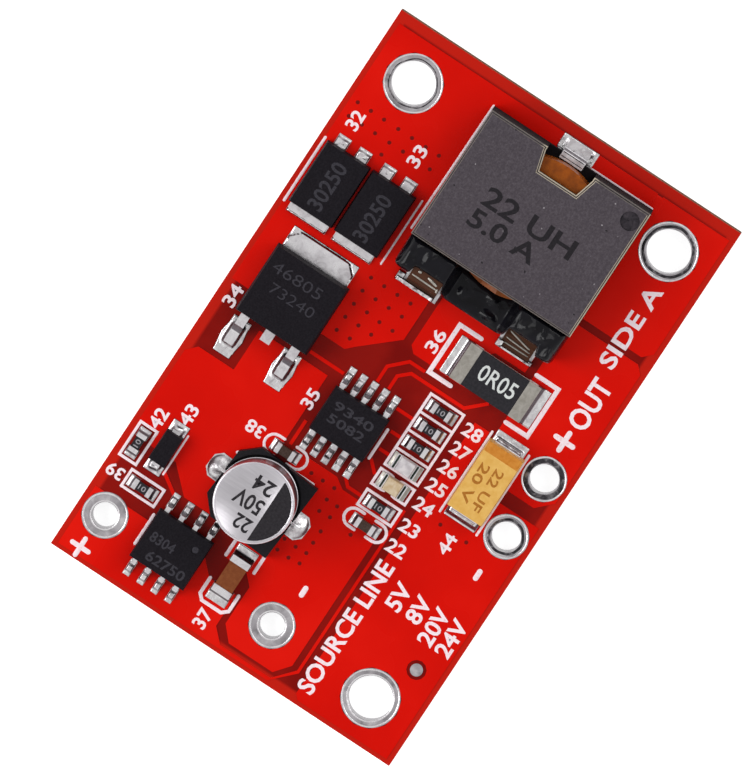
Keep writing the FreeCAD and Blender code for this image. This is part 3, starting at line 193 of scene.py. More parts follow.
def makeTin(name, colours, roughness, spot, height, paintedSlopeShade=None):
    # tin-lead metal: soft bright grey with darker drifts and faint pits; a given darker colour is painted shade on its
    # slopes, darker than its flats, standing for a dark reflection
    return makeFinish(name, list(zip((0.34, 0.5, 0.66), colours)), (spot, 3.0, 0.6, 0.6), roughness, (height, 0.8),
                      skin=(spot * 0.45, 3.0, 0.6), sway=(roughness + 0.12, roughness - 0.05),
                      fade=paintedSlopeShade and (paintedSlopeShade, "Normal", "Z", 0.7, 0.93), metallic=1.0)


def makeMoulding(name, plain, light, grain, roughness, height):  # a plain dull skin with a fine grain
    return makeFinish(name, [(0.35, plain), (0.68, light)], (grain, 3.0, 0.6), roughness, (height, 0.6),
                      sway=(roughness + 0.06, roughness - 0.05), gloss=0.15)


def makeLens(name, colour, deep):  # cast epoxy lens: cloudy, a little clear, smooth
    return makeFinish(name, [(0.35, deep), (0.65, colour)], (0.5, 2.0), 0.12, (0.01, 0.4), through=0.2)


laminate = {"bare": "8C0C04", "bareDark": "790400", "rim": "C21A0A", "rimWidth": 0.95, "edge": "8A6144",
            "edgeDark": "5C3222", "pour": "E01004", "pourDeep": "CC0B01", "half": (24.5, 15.5),
            "yarn": 0.5, "ply": 0.2, "roughness": 0.3, "cutRoughness": 0.85, "weave": 0.004}


def makeLaminate():
    # glass-epoxy board under red solder mask: deep red where no copper lies, painted lighter near the cut as painted
    # light for light shining through the laminate, scarlet over the copper that fills its underside, and brown layers
    # of glass at its edge
    material, tree, shader, place = startFinish("masked_glass_epoxy", laminate["roughness"], gloss=0.1)
    where, facing = (addNode(tree, "SeparateXYZ", {0: place[space]}).outputs for space in ("Object", "Normal"))
    cloth, layers = (
        addNode(tree, "TexWave", {"Vector": place["Object"], "Scale": 1 / (laminate[size] * mm) / 6.28,
                                  "Distortion": distortion, "Detail": detail}, bands_direction=axis).outputs["Fac"]
        for size, distortion, detail, axis in (("yarn", 1.5, 1.0, "X"), ("ply", 3.0, 2.0, "Z")))
    inside = [addNode(tree, "Math", {0: addNode(tree, "Math", {0: where[axis]}, operation="ABSOLUTE"), 1: half * mm},
                      operation="SUBTRACT") for axis, half in zip("XY", laminate["half"])]
    inside = addNode(tree, "Math", {0: inside[0], 1: inside[1]}, operation="MAXIMUM")
    width = laminate["rimWidth"] * mm
    # painted light: the upper face turns lighter close to the cut
    rim = addNode(tree, "MapRange", between(inside, -width, -0.75 * width))
    sides = []
    for size, low, high, deep, plain, cut in ((4.0, 0.38, 0.62, "bareDark", "bare", "rim"),
                                              (9.0, 0.3, 0.7, "pourDeep", "pour", "bare")):  # upper face, underside
        mask = addNode(tree, "ValToRGB", {"Fac": addNode(tree, "TexNoise", spots(place["Object"], size, 3.0))},
                       stops=[(low, laminate[deep]), (high, laminate[plain])])
        sides.append(addNode(tree, "Mix", {0: rim, 6: mask, 7: hexColour(laminate[cut])}, data_type="RGBA"))
    below = addNode(tree, "Math", {0: facing["Z"], 1: -0.5}, operation="LESS_THAN")
    mask = addNode(tree, "Mix", {0: below, 6: sides[0], 7: sides[1]}, data_type="RGBA")
    glass = addNode(tree, "ValToRGB", {"Fac": layers}, stops=[(0.1, laminate["edgeDark"]), (0.8, laminate["edge"])])
    isFace = addNode(tree, "Math", {0: addNode(tree, "Math", {0: facing["Z"]}, operation="ABSOLUTE"), 1: 0.5},
                     operation="GREATER_THAN")
    feed(shader, {
        "Base Color": addNode(tree, "Mix", {0: isFace, 6: glass, 7: mask}, data_type="RGBA"),
        "Roughness": addNode(tree, "MapRange", between(isFace, 0, 1, laminate["cutRoughness"], laminate["roughness"])),
        "Normal": addNode(tree, "Bump", {"Height": cloth, "Distance": laminate["weave"] * mm, "Strength": 1.0})})
    return material


# the two dimple colours are painted shade in the dimple, and the darkest colour is painted shade on the upright sides
# and the lower core
ferrite = {"plain": "4B444A", "dark": "413B41", "light": "5C565C", "speck": "A29CA0", "pore": "201D21",
           "paintedSideShade": "141114", "edge": "C2B6A2", "dimpleShadeDark": "1B181D", "dimpleShadeLight": "3F393F", "grain": 0.16,
           "scratchTurn": 28, "notch": (20.6, -1.7, 6.1), "roughness": (0.53, 1.0)}


def makeFerrite():
    # pressed and fired ferrite: dull grey-brown, with chips and pores a tenth of a millimetre or two wide, scratches
    # eight times longer than wide, pale rubbed edges, painted shade mottled in the dimple where the ejector stood, and
    # painted shade on its upright sides and on the lower core under the plate
    material, tree, shader, place = startFinish("fired_ferrite", ferrite["roughness"][0], gloss=0.15)
    where = place["Object"]
    turned = addNode(tree, "Mapping", {"Vector": where, "Rotation": (0, 0, math.radians(ferrite["scratchTurn"])),
                                       "Scale": (0.12, 1.0, 1.0)})
    grain, scratch, chips, dimpleShadeNoise = (addNode(tree, "TexNoise", spots(*noise)) for noise in (
        (where, ferrite["grain"], 4.0, 0.7), (turned, 0.18, 2.0, 0.5), (where, 0.5, 1.0, 0.4),
        (where, 0.7, 3.0, 0.6, 1.0)))
    facing = addNode(tree, "SeparateXYZ", {0: place["Normal"]}).outputs
    height = addNode(tree, "SeparateXYZ", {0: where}).outputs["Z"]
    away = addNode(tree, "VectorMath", {0: where, 1: [value * mm for value in ferrite["notch"]]},
                   operation="DISTANCE")
    level = {name: addNode(tree, "MapRange", between(*span)) for name, span in {
        "scratch": (scratch, 0.70, 0.78), "chip": (chips, 0.765, 0.79), "pore": (chips, 0.255, 0.235),
        "tipped": (facing["Z"], 0.98, 0.9), "upward": (facing["Z"], 0.2, 0.5), "upright": (facing["Z"], 0.3, 0.1),
        "front": (facing["Y"], -0.2, -0.6, 0.2, 1.0), "nearNotch": (away, 3.2 * mm, 2.8 * mm),
        "belowTop": (height, 6.12 * mm, 6.08 * mm), "aboveFloor": (height, 6.0 * mm, 6.03 * mm),
        "underPlate": (height, 5.25 * mm, 5.0 * mm)}.items()}
    for name, first, second, how in (
            ("edge", "tipped", "upward", "MULTIPLY"), ("rubbed", "front", "nearNotch", "MAXIMUM"),
            ("edge", "edge", "rubbed", "MULTIPLY"), ("dimple", "belowTop", "aboveFloor", "MULTIPLY"),
            ("dimple", "dimple", "upward", "MULTIPLY"), ("paintedSideShade", "upright", "underPlate", "MAXIMUM")):
        level[name] = addNode(tree, "Math", {0: level[first], 1: level[second]}, operation=how)
    colour = addNode(tree, "ValToRGB", {"Fac": grain}, stops=[(0.34, ferrite["dark"]), (0.5, ferrite["plain"]),
                                                              (0.74, ferrite["light"])])
    # painted shade in the dimple, mottled
    dimpleShadeColour = addNode(tree, "ValToRGB", {"Fac": dimpleShadeNoise}, stops=[(0.36, ferrite["dimpleShadeDark"]), (0.66, ferrite["dimpleShadeLight"])])
    for name, over in (("scratch", "light"), ("chip", "speck"), ("pore", "pore"), ("edge", "edge"),
                       ("dimple", dimpleShadeColour), ("paintedSideShade", "paintedSideShade")):
        over = hexColour(ferrite[over]) if over in ferrite else over
        colour = addNode(tree, "Mix", {0: level[name], 6: colour, 7: over}, data_type="RGBA")
    # the upright sides and the lower core under the plate get painted shade, and full roughness
    feed(shader, {"Base Color": colour,
                  "Roughness": addNode(tree, "MapRange", between(level["paintedSideShade"], 0, 1, *ferrite["roughness"])),
                  "Normal": addNode(tree, "Bump", {"Height": grain, "Distance": 0.02 * mm, "Strength": 0.6})})
    return material


finishes = {
    "red_board": makeLaminate(),
    "red_mask": makeFinish(  # liquid mask over copper: glassy scarlet, a faint orange-peel and slow changes of depth
        "scarlet_solder_mask", [(0.3, "D00B01"), (0.5, "DA0E02"), (0.72, "E41608")], (9.0, 3.0), 0.26, (0.004, 0.5),
        skin=(0.45, 1.0), sway=(0.22, 0.32), gloss=0.07),
    "deep_mask": makeMoulding("pooled_red_mask", "6C0602", "7E0903", 0.2, 0.3, 0.004),  # mask lying thick in a dimple
    "ink": makeFinish(  # epoxy ink: matt pinkish white, a little thin where the screen left less
        "screen_printed_white_ink", [(0.2, "F0C3C6"), (0.45, "FBE9EF")], (0.22, 2.0), 0.6, (0.006, 0.6), gloss=0.15),
    # the last colour given here is painted shade for the solder's slopes
    "solder": makeTin("reflowed_solder", ("C4BFC2", "E8E4E6", "FFFFFF"), 0.24, 0.6, 0.03, "645E62"),
    "worn_tin": makeTin("brushed_tin", ("9C978F", "ACA79F", "BDB8B0"), 0.36, 0.5, 0.02),  # duller, a little warm
    "bright_tin": makeTin("thick_tin", ("D8D3D6", "F4F0F3", "FFFFFF"), 0.22, 0.5, 0.02),  # almost white
    "dark_tin": makeTin("painted_shade_tin", ("2C2A2D", "4A474B", "8C888B"), 0.35, 0.45, 0.03),  # nearly black in places: painted shade, on the lips by the bores and the lines on the clip
    # the last colour given here is painted shade for the slopes of the leads
    "tin": makeTin("hot_dipped_tin", ("CDC8CB", "E7E3E6", "F8F5F7"), 0.3, 0.9, 0.02, "767176"),
    "plating": makeFinish(  # tinned copper through a hole: bright rings with dark streaks, and its wall painted darker, painted shade inside the bore
        "tinned_hole_plating", [(0.3, "949094"), (0.42, "B6B1B5"), (0.56, "CBC6CA"), (0.7, "E6E2E4")],
        (1.1, 3.0, 0.5, 0.4), 0.26, (0.02, 0.8), fade=("6B666B", "Normal", "Z", 0.1, 0.6), bothSides=True,
        metallic=1.0),
    "black_epoxy": makeFinish(  # transfer-moulded: spark-eroded grain, faintly grey, low sheen
        "moulded_black_epoxy", [(0.35, "141116"), (0.7, "201D22")], (0.12, 3.0, 0.6), 0.55, (0.012, 0.7),
        sway=(0.48, 0.62), patches=(2.0,), gloss=0.07),
    "laser": makeMoulding("laser_marked_epoxy", "2B292F", "403E45", 0.1, 0.7, 0.008),  # burnt a paler grey
    "ferrite": makeFerrite(),
    "ferrite_ink": makeMoulding("black_stamping_ink", "1A171B", "262327", 0.15, 0.5, 0.006),  # flat black
    "enamelled_copper": makeFinish(  # amber varnish on flat wire: a metal glow, burnt brown near the soldered ends, that brown drawn on past them to x 12.5 mm as painted shade on the wire beside the header
        "enamelled_flat_copper", [(0.3, "85400A"), (0.52, "9A4C0C"), (0.72, "A8570F")], (0.6, 3.0), 0.38,
        (0.02, 0.5), fade=("4C2D1D", "Object", "X", 9.0 * mm, 12.5 * mm), metallic=0.2, gloss=0.15, coat=0.12,
        coatRoughness=0.2),
    "glossy_black": makeFinish(  # potting varnish over the header: wet black gloss, uneven like poured resin
        "glossy_black_varnish", [(0.3, "0B0A0E"), (0.75, "15141A")], (1.2, 2.0, 0.45, 0.5), 0.16, (0.34, 0.8),
        gloss=0.06, coat=0.25, coatRoughness=0.07),
    "can_aluminium": makeFinish(  # drawn and washed can: satin metal with fine draw lines, its wall painted darker, painted shade
        "drawn_aluminium", [(0.3, "CAC6CB"), (0.5, "D0CCD1"), (0.7, "D8D4D9")], (0.12, 3.0, 0.6), 0.34, (0.002, 0.4),
        fade=("A19DA2", "Normal", "Z", 0.25, 0.6), stretch=(1.0, 0.06, 1.0), metallic=1.0),
    "can_ink": makeMoulding("black_can_ink", "232024", "302D31", 0.2, 0.45, 0.004),  # soft black, a slight sheen
    "bung_rubber": makeMoulding("butyl_rubber", "1B1A1A", "262424", 0.2, 0.75, 0.02),  # dead matt
    "black_plastic": makeMoulding("moulded_black_nylon", "131215", "1D1B20", 0.2, 0.5, 0.015),  # fine dull grain
    "white_ceramic": makeMoulding("fired_alumina", "D9D3CC", "E8E4DE", 0.15, 0.6, 0.006),  # chalky warm white
    "resistor_coat": makeMoulding("black_overglaze", "242327", "302E33", 0.2, 0.38, 0.012),  # smooth, half glossy
    "chip_ink": makeMoulding("grey_chip_ink", "8F8C91", "A9A6AB", 0.12, 0.5, 0.004),  # thin pale grey
    "overglaze_ink": makeMoulding("white_overglaze_ink", "D2D6D4", "E4E7E5", 0.12, 0.5, 0.004),  # opaque cool white
    "yellow_epoxy": makeMoulding("moulded_yellow_epoxy", "DEAB55", "E8BA67", 0.5, 0.42, 0.008),  # smooth ochre
    "band_ink": makeMoulding("orange_band_ink", "C67B28", "D38C38", 0.3, 0.45, 0.004),  # deeper orange, flat
    "lamp_ink": makeMoulding("dark_green_lamp_mask", "1C2620", "2C3A31", 0.2, 0.4, 0.004),  # nearly black green
    "mark_ink": makeMoulding("brown_mark_ink", "A5661F", "B77830", 0.2, 0.5, 0.004),  # brown on yellow
    "brown_ceramic": makeMoulding("tan_titanate_ceramic", "763C1D", "834826", 0.25, 0.42, 0.006),  # biscuit brown
    "dark_ceramic": makeMoulding("dark_titanate_ceramic", "3C2C25", "50403A", 0.2, 0.4, 0.006),  # greyed by soot
    "lamp_board": makeMoulding("white_lamp_laminate", "D9D4CC", "ECE8E2", 0.2, 0.5, 0.006),  # plain off-white
    "amber_lens": makeLens("amber_cast_epoxy", "F0DDBF", "D8BA90"),
    "clear_lens": makeLens("milky_cast_epoxy", "F0EAEC", "CDC7CB"),
}
finishOf = {  # the first of these that a solid's name holds gives its finish
    "circuit_board": "red_board", "copper_pattern": "red_mask", "solder_lands": "solder", "_ring": "plating",
    "test_pad": "plating", "_core": "ferrite", "inductor_coil": "enamelled_copper", "inductor_header": "glossy_black",
    "capacitor_can": "can_aluminium", "capacitor_bung": "bung_rubber", "capacitor_base": "black_plastic",
    "shunt_slab": "white_ceramic", "shunt_coat": "resistor_coat", "shunt_ends": "worn_tin",
    "tantalum_body": "yellow_epoxy", "chip_capacitor_3": "brown_ceramic", "chip_capacitor": "dark_ceramic",
    "chip_resistor": "resistor_coat", "lamp_base": "lamp_board", "amber_lamp_lens": "amber_lens",
    "clear_lamp_lens": "clear_lens", "_body": "black_epoxy", "": "tin"}  # tin on all the rest


def dressNodes():
    for name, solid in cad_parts.items():
        solid.data.materials.clear()
        solid.data.materials.append(finishes[next(finishOf[part] for part in finishOf if part in name)])


dressNodes()
print("finishes given to", len(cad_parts), "solids")


def gridFaces(rows, columns, around=False):  # four-sided faces of a grid; around closes it on itself
    r, c = np.meshgrid(np.arange(rows - 1), np.arange(columns if around else columns - 1), indexing="ij")
    near, far = c.ravel(), (c.ravel() + 1) % columns
    low, high = r.ravel() * columns, (r.ravel() + 1) * columns
    return np.stack([low + near, low + far, high + far, high + near], axis=1)


def makePiece(name, shapes, finish, replaces=(), crease=38):
    # closes each grid (points in mm, faces) by merging the doubled points of its seams and poles, turns its faces
    # outwards, and gathers them all in one mesh
    work, shell = bmesh.new(), bpy.data.meshes.new("shell")
    for points, faces in shapes:
        shell.clear_geometry()
        shell.from_pydata((points.reshape(-1, 3) * mm).tolist(), [], faces.tolist())
        closed = bmesh.new()
        closed.from_mesh(shell)
        bmesh.ops.remove_doubles(closed, verts=closed.verts, dist=0.0002 * mm)
        bmesh.ops.recalc_face_normals(closed, faces=closed.faces)
        closed.to_mesh(shell)
        closed.free()
        work.from_mesh(shell)
    bpy.data.meshes.remove(shell)
    mesh = bpy.data.meshes.new(name)
    work.to_mesh(mesh)
    work.free()
    mesh.shade_smooth()
    mesh.set_sharp_from_angle(angle=math.radians(crease))
    seatPiece(name, mesh, finish, replaces)


def seatPiece(name, mesh, finish, replaces=()):
    piece = bpy.data.objects.new(name, mesh)
    bpy.context.scene.collection.objects.link(piece)
    mesh.materials.append(finishes[finish])
    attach(piece, "root")
    if replaces:
        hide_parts(*replaces)


def turned(profile, x, y, segments, wobble=0.0):
    # a profile of (radius, height) carried round an upright axis: point = centre + radius * (cos a, sin a), height;
    # wobble lets the radius swell and shrink with three and seven waves round the axis
    radius, height = np.array(profile, float).T
    angle = np.linspace(0, 2 * math.pi, segments, endpoint=False)
    radius = radius[:, None] * (1 + wobble * (np.sin(3 * angle + x) + 0.6 * np.sin(7 * angle + y)))
    points = np.stack([x + radius * np.cos(angle), y + radius * np.sin(angle),
                       np.repeat(height[:, None], segments, axis=1)], axis=-1)
    return points, gridFaces(len(profile), segments, around=True)


def pillow(u, v, top, base):
    # a closed form between a height grid and a flat base; at the rim the height is the base's
    rows, columns = u.shape
    upper = np.stack([u, v, top], axis=-1)
    lower = np.stack([u, v, np.full(u.shape, base)], axis=-1)
    faces = gridFaces(rows, columns)
    return np.stack([upper, lower]), np.concatenate([faces, faces[:, ::-1] + rows * columns])


def film(box, low, rise, rows, columns):  # a thin film over a box, its height falling to nothing at the rim
    x0, x1, y0, y1 = box
    u, v = np.meshgrid(np.linspace(x0, x1, rows), np.linspace(y0, y1, columns), indexing="ij")
    rim = np.minimum(np.minimum(u - x0, x1 - u), np.minimum(v - y0, y1 - v))
    return pillow(u, v, low + rise * np.clip(rim / 0.03, 0, 1), low)


def waves(u, v, seed):  # three crossing slow waves, between -1 and 1, for what was melted or poured
    return (np.sin(2.9 * u + 1.3 * v + seed) + np.sin(-1.9 * u + 3.7 * v + 2.1 * seed)
            + np.sin(5.3 * u + 4.1 * v + 0.7 * seed)) / 3


boardTop, maskTop, seat = 1.6, 1.65, 1.7  # heights of the laminate, the masked copper and the lands

plating = {"wall": 0.025, "foil": 0.02, "top": 1.655, "lipTop": 1.672, "rimTop": 1.678,
           "holes": [  # place, bore, ring, lip of painted shade from and to, bright rims
               (20.3, 11.65, 1.75, 2.3, [(1.82, 1.93)], [2.25]), (20.3, -11.65, 1.75, 2.3, [(1.82, 2.06)], [2.25]),
               (-20.9, -11.45, 1.75, 2.3, [], [2.22, 1.83]), (-20.4, 13.2, 1.025, 1.8, [], [1.7, 1.12]),
               (-20.4, -2.1, 1.025, 1.8, [], [1.7, 1.12]), (-4.8, -13.3, 1.175, 1.75, [(1.215, 1.44)], [1.66]),
               (0.5, -13.3, 1.175, 1.75, [(1.215, 1.6)], [1.7])]}


def makePlating():  # each wall goes down the bore and turns out over a ring on the underside; some rings get a dark lip by the bore, painted shade
    walls, shadeLips, rims = [], [], []
    top, high, foil = plating["top"], plating["lipTop"], plating["foil"]
    for x, y, bore, pad, shadeLip, bright in plating["holes"]:
        inner = bore - plating["wall"]
        wall = [(inner, top), (inner, 0.02), (bore - 0.01, -0.005), (bore + 0.03, -foil), (pad - 0.04, -foil),
                (pad, 0.0), (bore, 0.0), (bore, top), (inner, top)]
        walls.append(turned(wall, x, y, 72))
        shadeLips += [turned([(near, top), (near + 0.02, high), (far - 0.03, high), (far, top), (near, top)], x, y, 72,
                        0.018) for near, far in shadeLip]
        rims += [turned([(r - 0.08, top), (r - 0.05, high), (r, plating["rimTop"]), (r + 0.04, high),
                         (r + 0.05, top), (r - 0.08, top)], x, y, 72, 0.006) for r in bright]
    makePiece("hole_plating", walls, "plating")
    # the dark lips are painted shade by the bores
    makePiece("painted_shade_lips", shadeLips, "dark_tin")
    makePiece("bright_rims", rims, "bright_tin")  # where the tin drew back to the edges and lies thicker


makePlating()

via = {"ring": 0.32, "dimple": 0.17, "rise": 0.007,
       "rows": {6.2: (1.3, 2.5, 3.7, 4.9, 6.1), 5.0: (1.3, 2.5, 3.7, 4.9, 6.1), 3.8: (2.45, 3.6, 4.9, 6.1),
                2.6: (3.6, 4.9, 6.1), 14.4: (15.5, 16.75), 13.2: (15.5, 16.75), 12.0: (15.5, 16.75),
                10.7: (14.4, 15.5, 16.75), 9.45: (15.5, 16.75), 8.2: (15.5, 16.75), 7.0: (15.5, 16.75),
                0.75: (-15.3, -14.3, -8.95), -0.3: (-15.35, -14.35, -11.05, -10.0, -8.95),
                -1.25: (-15.25, -14.3, -13.35, -12.3, -11.0, -10.0), -3.3: (-11.25,), 1.8: (-8.95,),
                -8.6: (-6.8,), -11.0: (-6.85,)}}


def makeVias():  # a low rounded ring of masked copper, and the darker dimple in it
    ring, dimple, rise = via["ring"], via["dimple"], via["rise"]
    rim = [(0.0, -0.01), (ring, -0.01), (ring, 0.0), (ring - 0.04, rise * 0.8), (ring - 0.08, rise),
           (dimple, rise * 0.9), (dimple - 0.04, 0.003), (0.0, 0.003)]
    pit = [(0.0, 0.0), (dimple - 0.01, 0.0), (dimple - 0.01, rise * 0.8), (dimple - 0.06, 0.005), (0.0, 0.004)]
    places = [(x, y) for y, row in via["rows"].items() for x in row]
    for name, profile, finish in (("via_rings", rim, "red_mask"), ("via_dimples", pit, "deep_mask")):
        shapes = [turned([(r, maskTop + z) for r, z in profile], x, y, 18) for x, y in places]
        makePiece(name, shapes, finish)


bridge = {"box": (21.9, 23.47, -9.35, -8.45), "low": boardTop, "rise": 0.052}


def makeBridge():  # masked copper that joins the two pours beside the inductor
    makePiece("pour_bridge", [film(*bridge.values(), 17, 13)], "red_mask")


makeVias()
makeBridge()
print("plated holes and vias made")

solder = {
    "film": 0.025,
    "gull": [(-4.1, 1.45, 5, 1.0, 2.0, 3.7, 3.05, 2.65), (-19.65, 7.5, 4, 1.27, 2.4, 3.7, 3.25, 2.85)],
    "chip": (0.96, 0.45, 1.25, 0.8, 0.3),  # a land's width, start and end from the middle, half the chip, the climb
    "chips": [(-10.05, -3.85, True), (-8.3, -3.95, True), (-2.85, -3.95, True), (-1.2, -3.95, True),
              (0.45, -3.95, True), (-17.05, 11.95, True), (-8.65, 4.35, True), (-14.35, 14.15, False)],
    "wireEnds": [(7.08, 7.5, 1.3, 4.7, 0.8, 0.12, 3, 0.07), (7.1, 7.9, 4.1, 4.75, 0.45, 0.12, 4, 0.06),
                 (7.08, 7.36, -7.6, -4.45, 0.75, 0.12, 5, 0.06), (7.1, 7.75, -5.0, -4.4, 0.85, 0.12, 6, 0.06),
                 (7.1, 7.5, -7.7, -7.3, 0.7, 0.12, 7, 0.06)],
    # from here each row has a land, a foot, climb, reach, lump and seed
    "clip": [((22.35, 23.6, -3.1, -0.05), (22.35, 23.3, -2.7, -0.7), 0.2, 0.3, 0.25, 5)],
    "rectifiers": [((12.5, 14.05, y - 0.55, y + 0.55), (12.5, 13.71, y - 0.45, y + 0.45), 0.22, 0.3, 0.2, y)
                   for y in (13.7, 11.8, 9.57, 7.67)],
    "diode": [((-15.7, -14.5, 11.35, 12.85), (-15.25, -14.5, 11.78, 12.42), 0.26, 0.4, 0.3, 1),
              ((-12.4, -11.2, 11.35, 12.85), (-12.4, -11.65, 11.78, 12.42), 0.26, 0.4, 0.3, 2)],
    "shunt": [((3.05, 6.33, -3.3, -2.0), (3.1, 6.25, -3.3, -2.92), 0.5, 0.4, 0.06, 8),
              ((3.05, 6.33, -10.2, -9.0), (3.1, 6.25, -9.32, -9.0), 0.5, 0.4, 0.06, 9)],
    "tantalum": [((-5.95, -4.9, -11.1, -8.3), (-5.45, -4.9, -10.9, -8.5), 0.6, 0.45, 0.1, 10),
                 ((0.8, 1.8, -11.1, -8.3), (0.8, 1.25, -10.8, -8.6), 0.2, 0.2, 0.1, 11)]}


def joint(land, foot, climb, reach, lump=0.0, seed=0.0, bulge=0.0, nick=0.0, cut=0.0, edge=0.05, turn=None):
    # solder on one land: height = film + climb * (1 - distance from the foot / reach) squared, times slow waves, and
    # rounded off at the land's rim; the land's half width swells by bulge at its middle, nick rounds its corners, cut
    # takes off the foot's corners, and turn is an angle and the point that the joint turns about
    x0, x1, y0, y1 = land
    run = np.sin(np.linspace(-1, 1, 25) * math.pi / 2)
    s, t = np.meshgrid(run, run, indexing="ij")
    u = (x0 + x1) / 2 + s * (x1 - x0) / 2
    sideX = np.minimum(u - x0, x1 - u)
    corner = np.clip(1 - sideX / max(nick, 0.001), 0, 1)
    half = (y1 - y0) / 2 + bulge * np.clip(1 - np.abs(s) / 0.75, 0, 1) - nick * (1 - np.sqrt(1 - corner ** 2))
    v = (y0 + y1) / 2 + t * half
    inside = np.minimum(sideX, half - np.abs(t) * half)
    dx, dy = np.maximum(foot[0] - u, u - foot[1]), np.maximum(foot[2] - v, v - foot[3])
    away = np.hypot(np.maximum(dx, 0), np.maximum(dy, 0))
    if cut:
        away = np.maximum(away, (dx + dy + cut) / math.sqrt(2))
    height = (solder["film"] + climb * np.clip(1 - away / reach, 0, 1) ** 2) * (1 + lump * waves(2 * u, 2 * v, seed))
    height = (seat - boardTop + height) * np.clip(inside / edge, 0, 1) ** 0.5
    points, faces = pillow(u, v, boardTop + height, boardTop)
    if turn:
        angle, centre = math.radians(turn[0]), np.array(turn[1:])
        spin = np.array([[math.cos(angle), math.sin(angle)], [-math.sin(angle), math.cos(angle)]])
        points[..., :2] = (points[..., :2] - centre) @ spin + centre
    return points, faces


def gullJoints(x, y, pins, pitch, start, end, toe, heel):  # two rows of lead feet about a package's middle
    shapes = []
    for row in range(pins):
        at = y + (row - (pins - 1) / 2) * pitch
        for side in (-1, 1):
            land, foot = sorted((x + side * start, x + side * end)), sorted((x + side * toe, x + side * heel))
            shapes.append(joint((*land, at - 0.28, at + 0.28), (*foot, at - 0.17, at + 0.17), 0.22, 0.3, 0.12,
                                row + side))
    return shapes


def chipJoints(x, y, upright, width, start, end, cap, climb, lump=0.1):  # the two ends of a chip
    shapes = []
    for side in (-1, 1):
        boxes = []  # land and foot
        for far, half in ((end, width / 2), (cap, width / 2 - 0.08)):
            along, across = sorted((side * start, side * far)), (-half, half)
            (x0, x1), (y0, y1) = (across, along) if upright else (along, across)
            boxes.append((x + x0, x + x1, y + y0, y + y1))
        shapes.append(joint(*boxes, climb, 0.34, lump, (x if upright else y) + side))
    return shapes


def bead(x0, x1, y0, y1, top, lump, seed, edge):  # a rounded run of solder
    return joint((x0, x1, y0, y1), (x0, x1, y0, y1), top, 1.0, lump, seed, edge=edge)


def makeSolder():
    shapes = [shape for row in solder["gull"] for shape in gullJoints(*row)]
    shapes += [shape for place in solder["chips"] for shape in chipJoints(*place, *solder["chip"])]
    shapes += chipJoints(-18.9, 2.55, False, 1.76, 1.0, 2.45, 1.6, 0.7)  # the large ceramic capacitor
    for y, seed in ((8.0, 1), (12.6, 2)):  # the power transistor's feet stand in bulging lands
        shapes.append(joint((-5.15, -1.98, y - 0.76, y + 0.76), (-4.1, -2.6, y - 0.38, y + 0.38), 0.42, 0.36, 0.12,
                            seed, bulge=0.2))
    shapes.append(joint((4.5, 6.27, 7.33, 13.27), (4.5, 6.05, 7.5, 13.1), 0.42, 0.12, cut=0.75))  # and its tab
    shapes += [bead(*row) for row in solder["wireEnds"]]
    for part in ("clip", "rectifiers", "diode", "shunt", "tantalum"):
        shapes += [joint(*row) for row in solder[part]]
    shapes += [bead(6.85, 7.12, y - 1.75, y + 1.75, 0.27, 0.2, y, 0.1) for y in (12.75, 8.62)]  # the rectifiers' tabs
    for low, high, foot in ((5.8, 8.83, (5.8, 8.1)), (-0.43, 2.6, (0.3, 2.6))):  # the round capacitor's two lands
        shapes.append(joint((-13.78, -11.62, low, high), (-12.75, -12.65, *foot), 0.55, 1.3, 0.12, low, nick=1.0,
                            edge=0.3, turn=(-4.0, -12.7, 4.2)))
    shapes += [bead(x0, x1, -10.75, -8.65, 1.1, 0.05, seed, 0.06) for x0, x1, seed in
               ((-5.45, -5.05, 12), (1.02, 1.32, 13))]  # up the tantalum capacitor's straps
    makePiece("solder_joints", shapes, "solder", crease=75)
    lamps = [part for x in (-6.35, -4.55) for part in chipJoints(x, -3.95, True, 1.25, 0.65, 1.28, 1.0, 0.08, 0.3)]
    makePiece("lamp_solder", lamps, "worn_tin")  # flux leaves the lamps' joints duller


def rib(start, end, radius):  # a half-round rib: a half circle carried from start to end, drawn in at both ends
    a, b = np.array(start, float), np.array(end, float)
    side = np.array([a[1] - b[1], b[0] - a[0], 0.0]) / np.hypot(*(b - a)[:2])
    run, fat = np.linspace(0, 1, 13), np.sqrt(np.clip(1 - np.abs(np.linspace(-1, 1, 13)) ** 6, 0, 1))
    angle = np.linspace(0, math.pi, 9)
    across, rise = radius * fat[:, None] * np.cos(angle), radius * fat[:, None] * np.sin(angle)
    points = (a + (b - a) * run[:, None])[:, None] + side * across[..., None] + np.array([0, 0, 1.0]) * rise[..., None]
    return points, gridFaces(13, 9, around=True)


wireRibs = [  # start, end and radius of each run of tin, its ends lying on the wire
    ((8.42, 3.8, 5.17), (8.36, 1.45, 5.17), 0.08), ((8.86, 3.45, 5.17), (8.9, 3.15, 5.17), 0.13),
    ((8.85, 2.6, 5.17), (8.62, 1.6, 5.17), 0.12), ((8.5, 1.5, 5.17), (8.15, 1.42, 5.17), 0.1),
    ((7.78, 3.7, 2.28), (7.75, 1.5, 2.28), 0.06), ((8.74, -4.85, 2.76), (8.2, -7.0, 2.27), 0.11),
    ((8.1, -4.85, 2.28), (7.98, -7.15, 2.28), 0.09), ((7.68, -4.8, 2.28), (7.7, -7.2, 2.28), 0.08)]


def makeWireRibs():  # runs of tin left along the burnt wire ends
    makePiece("wire_end_tin", [rib(*run) for run in wireRibs], "worn_tin")


makeSolder()
makeWireRibs()
print("solder joints made")

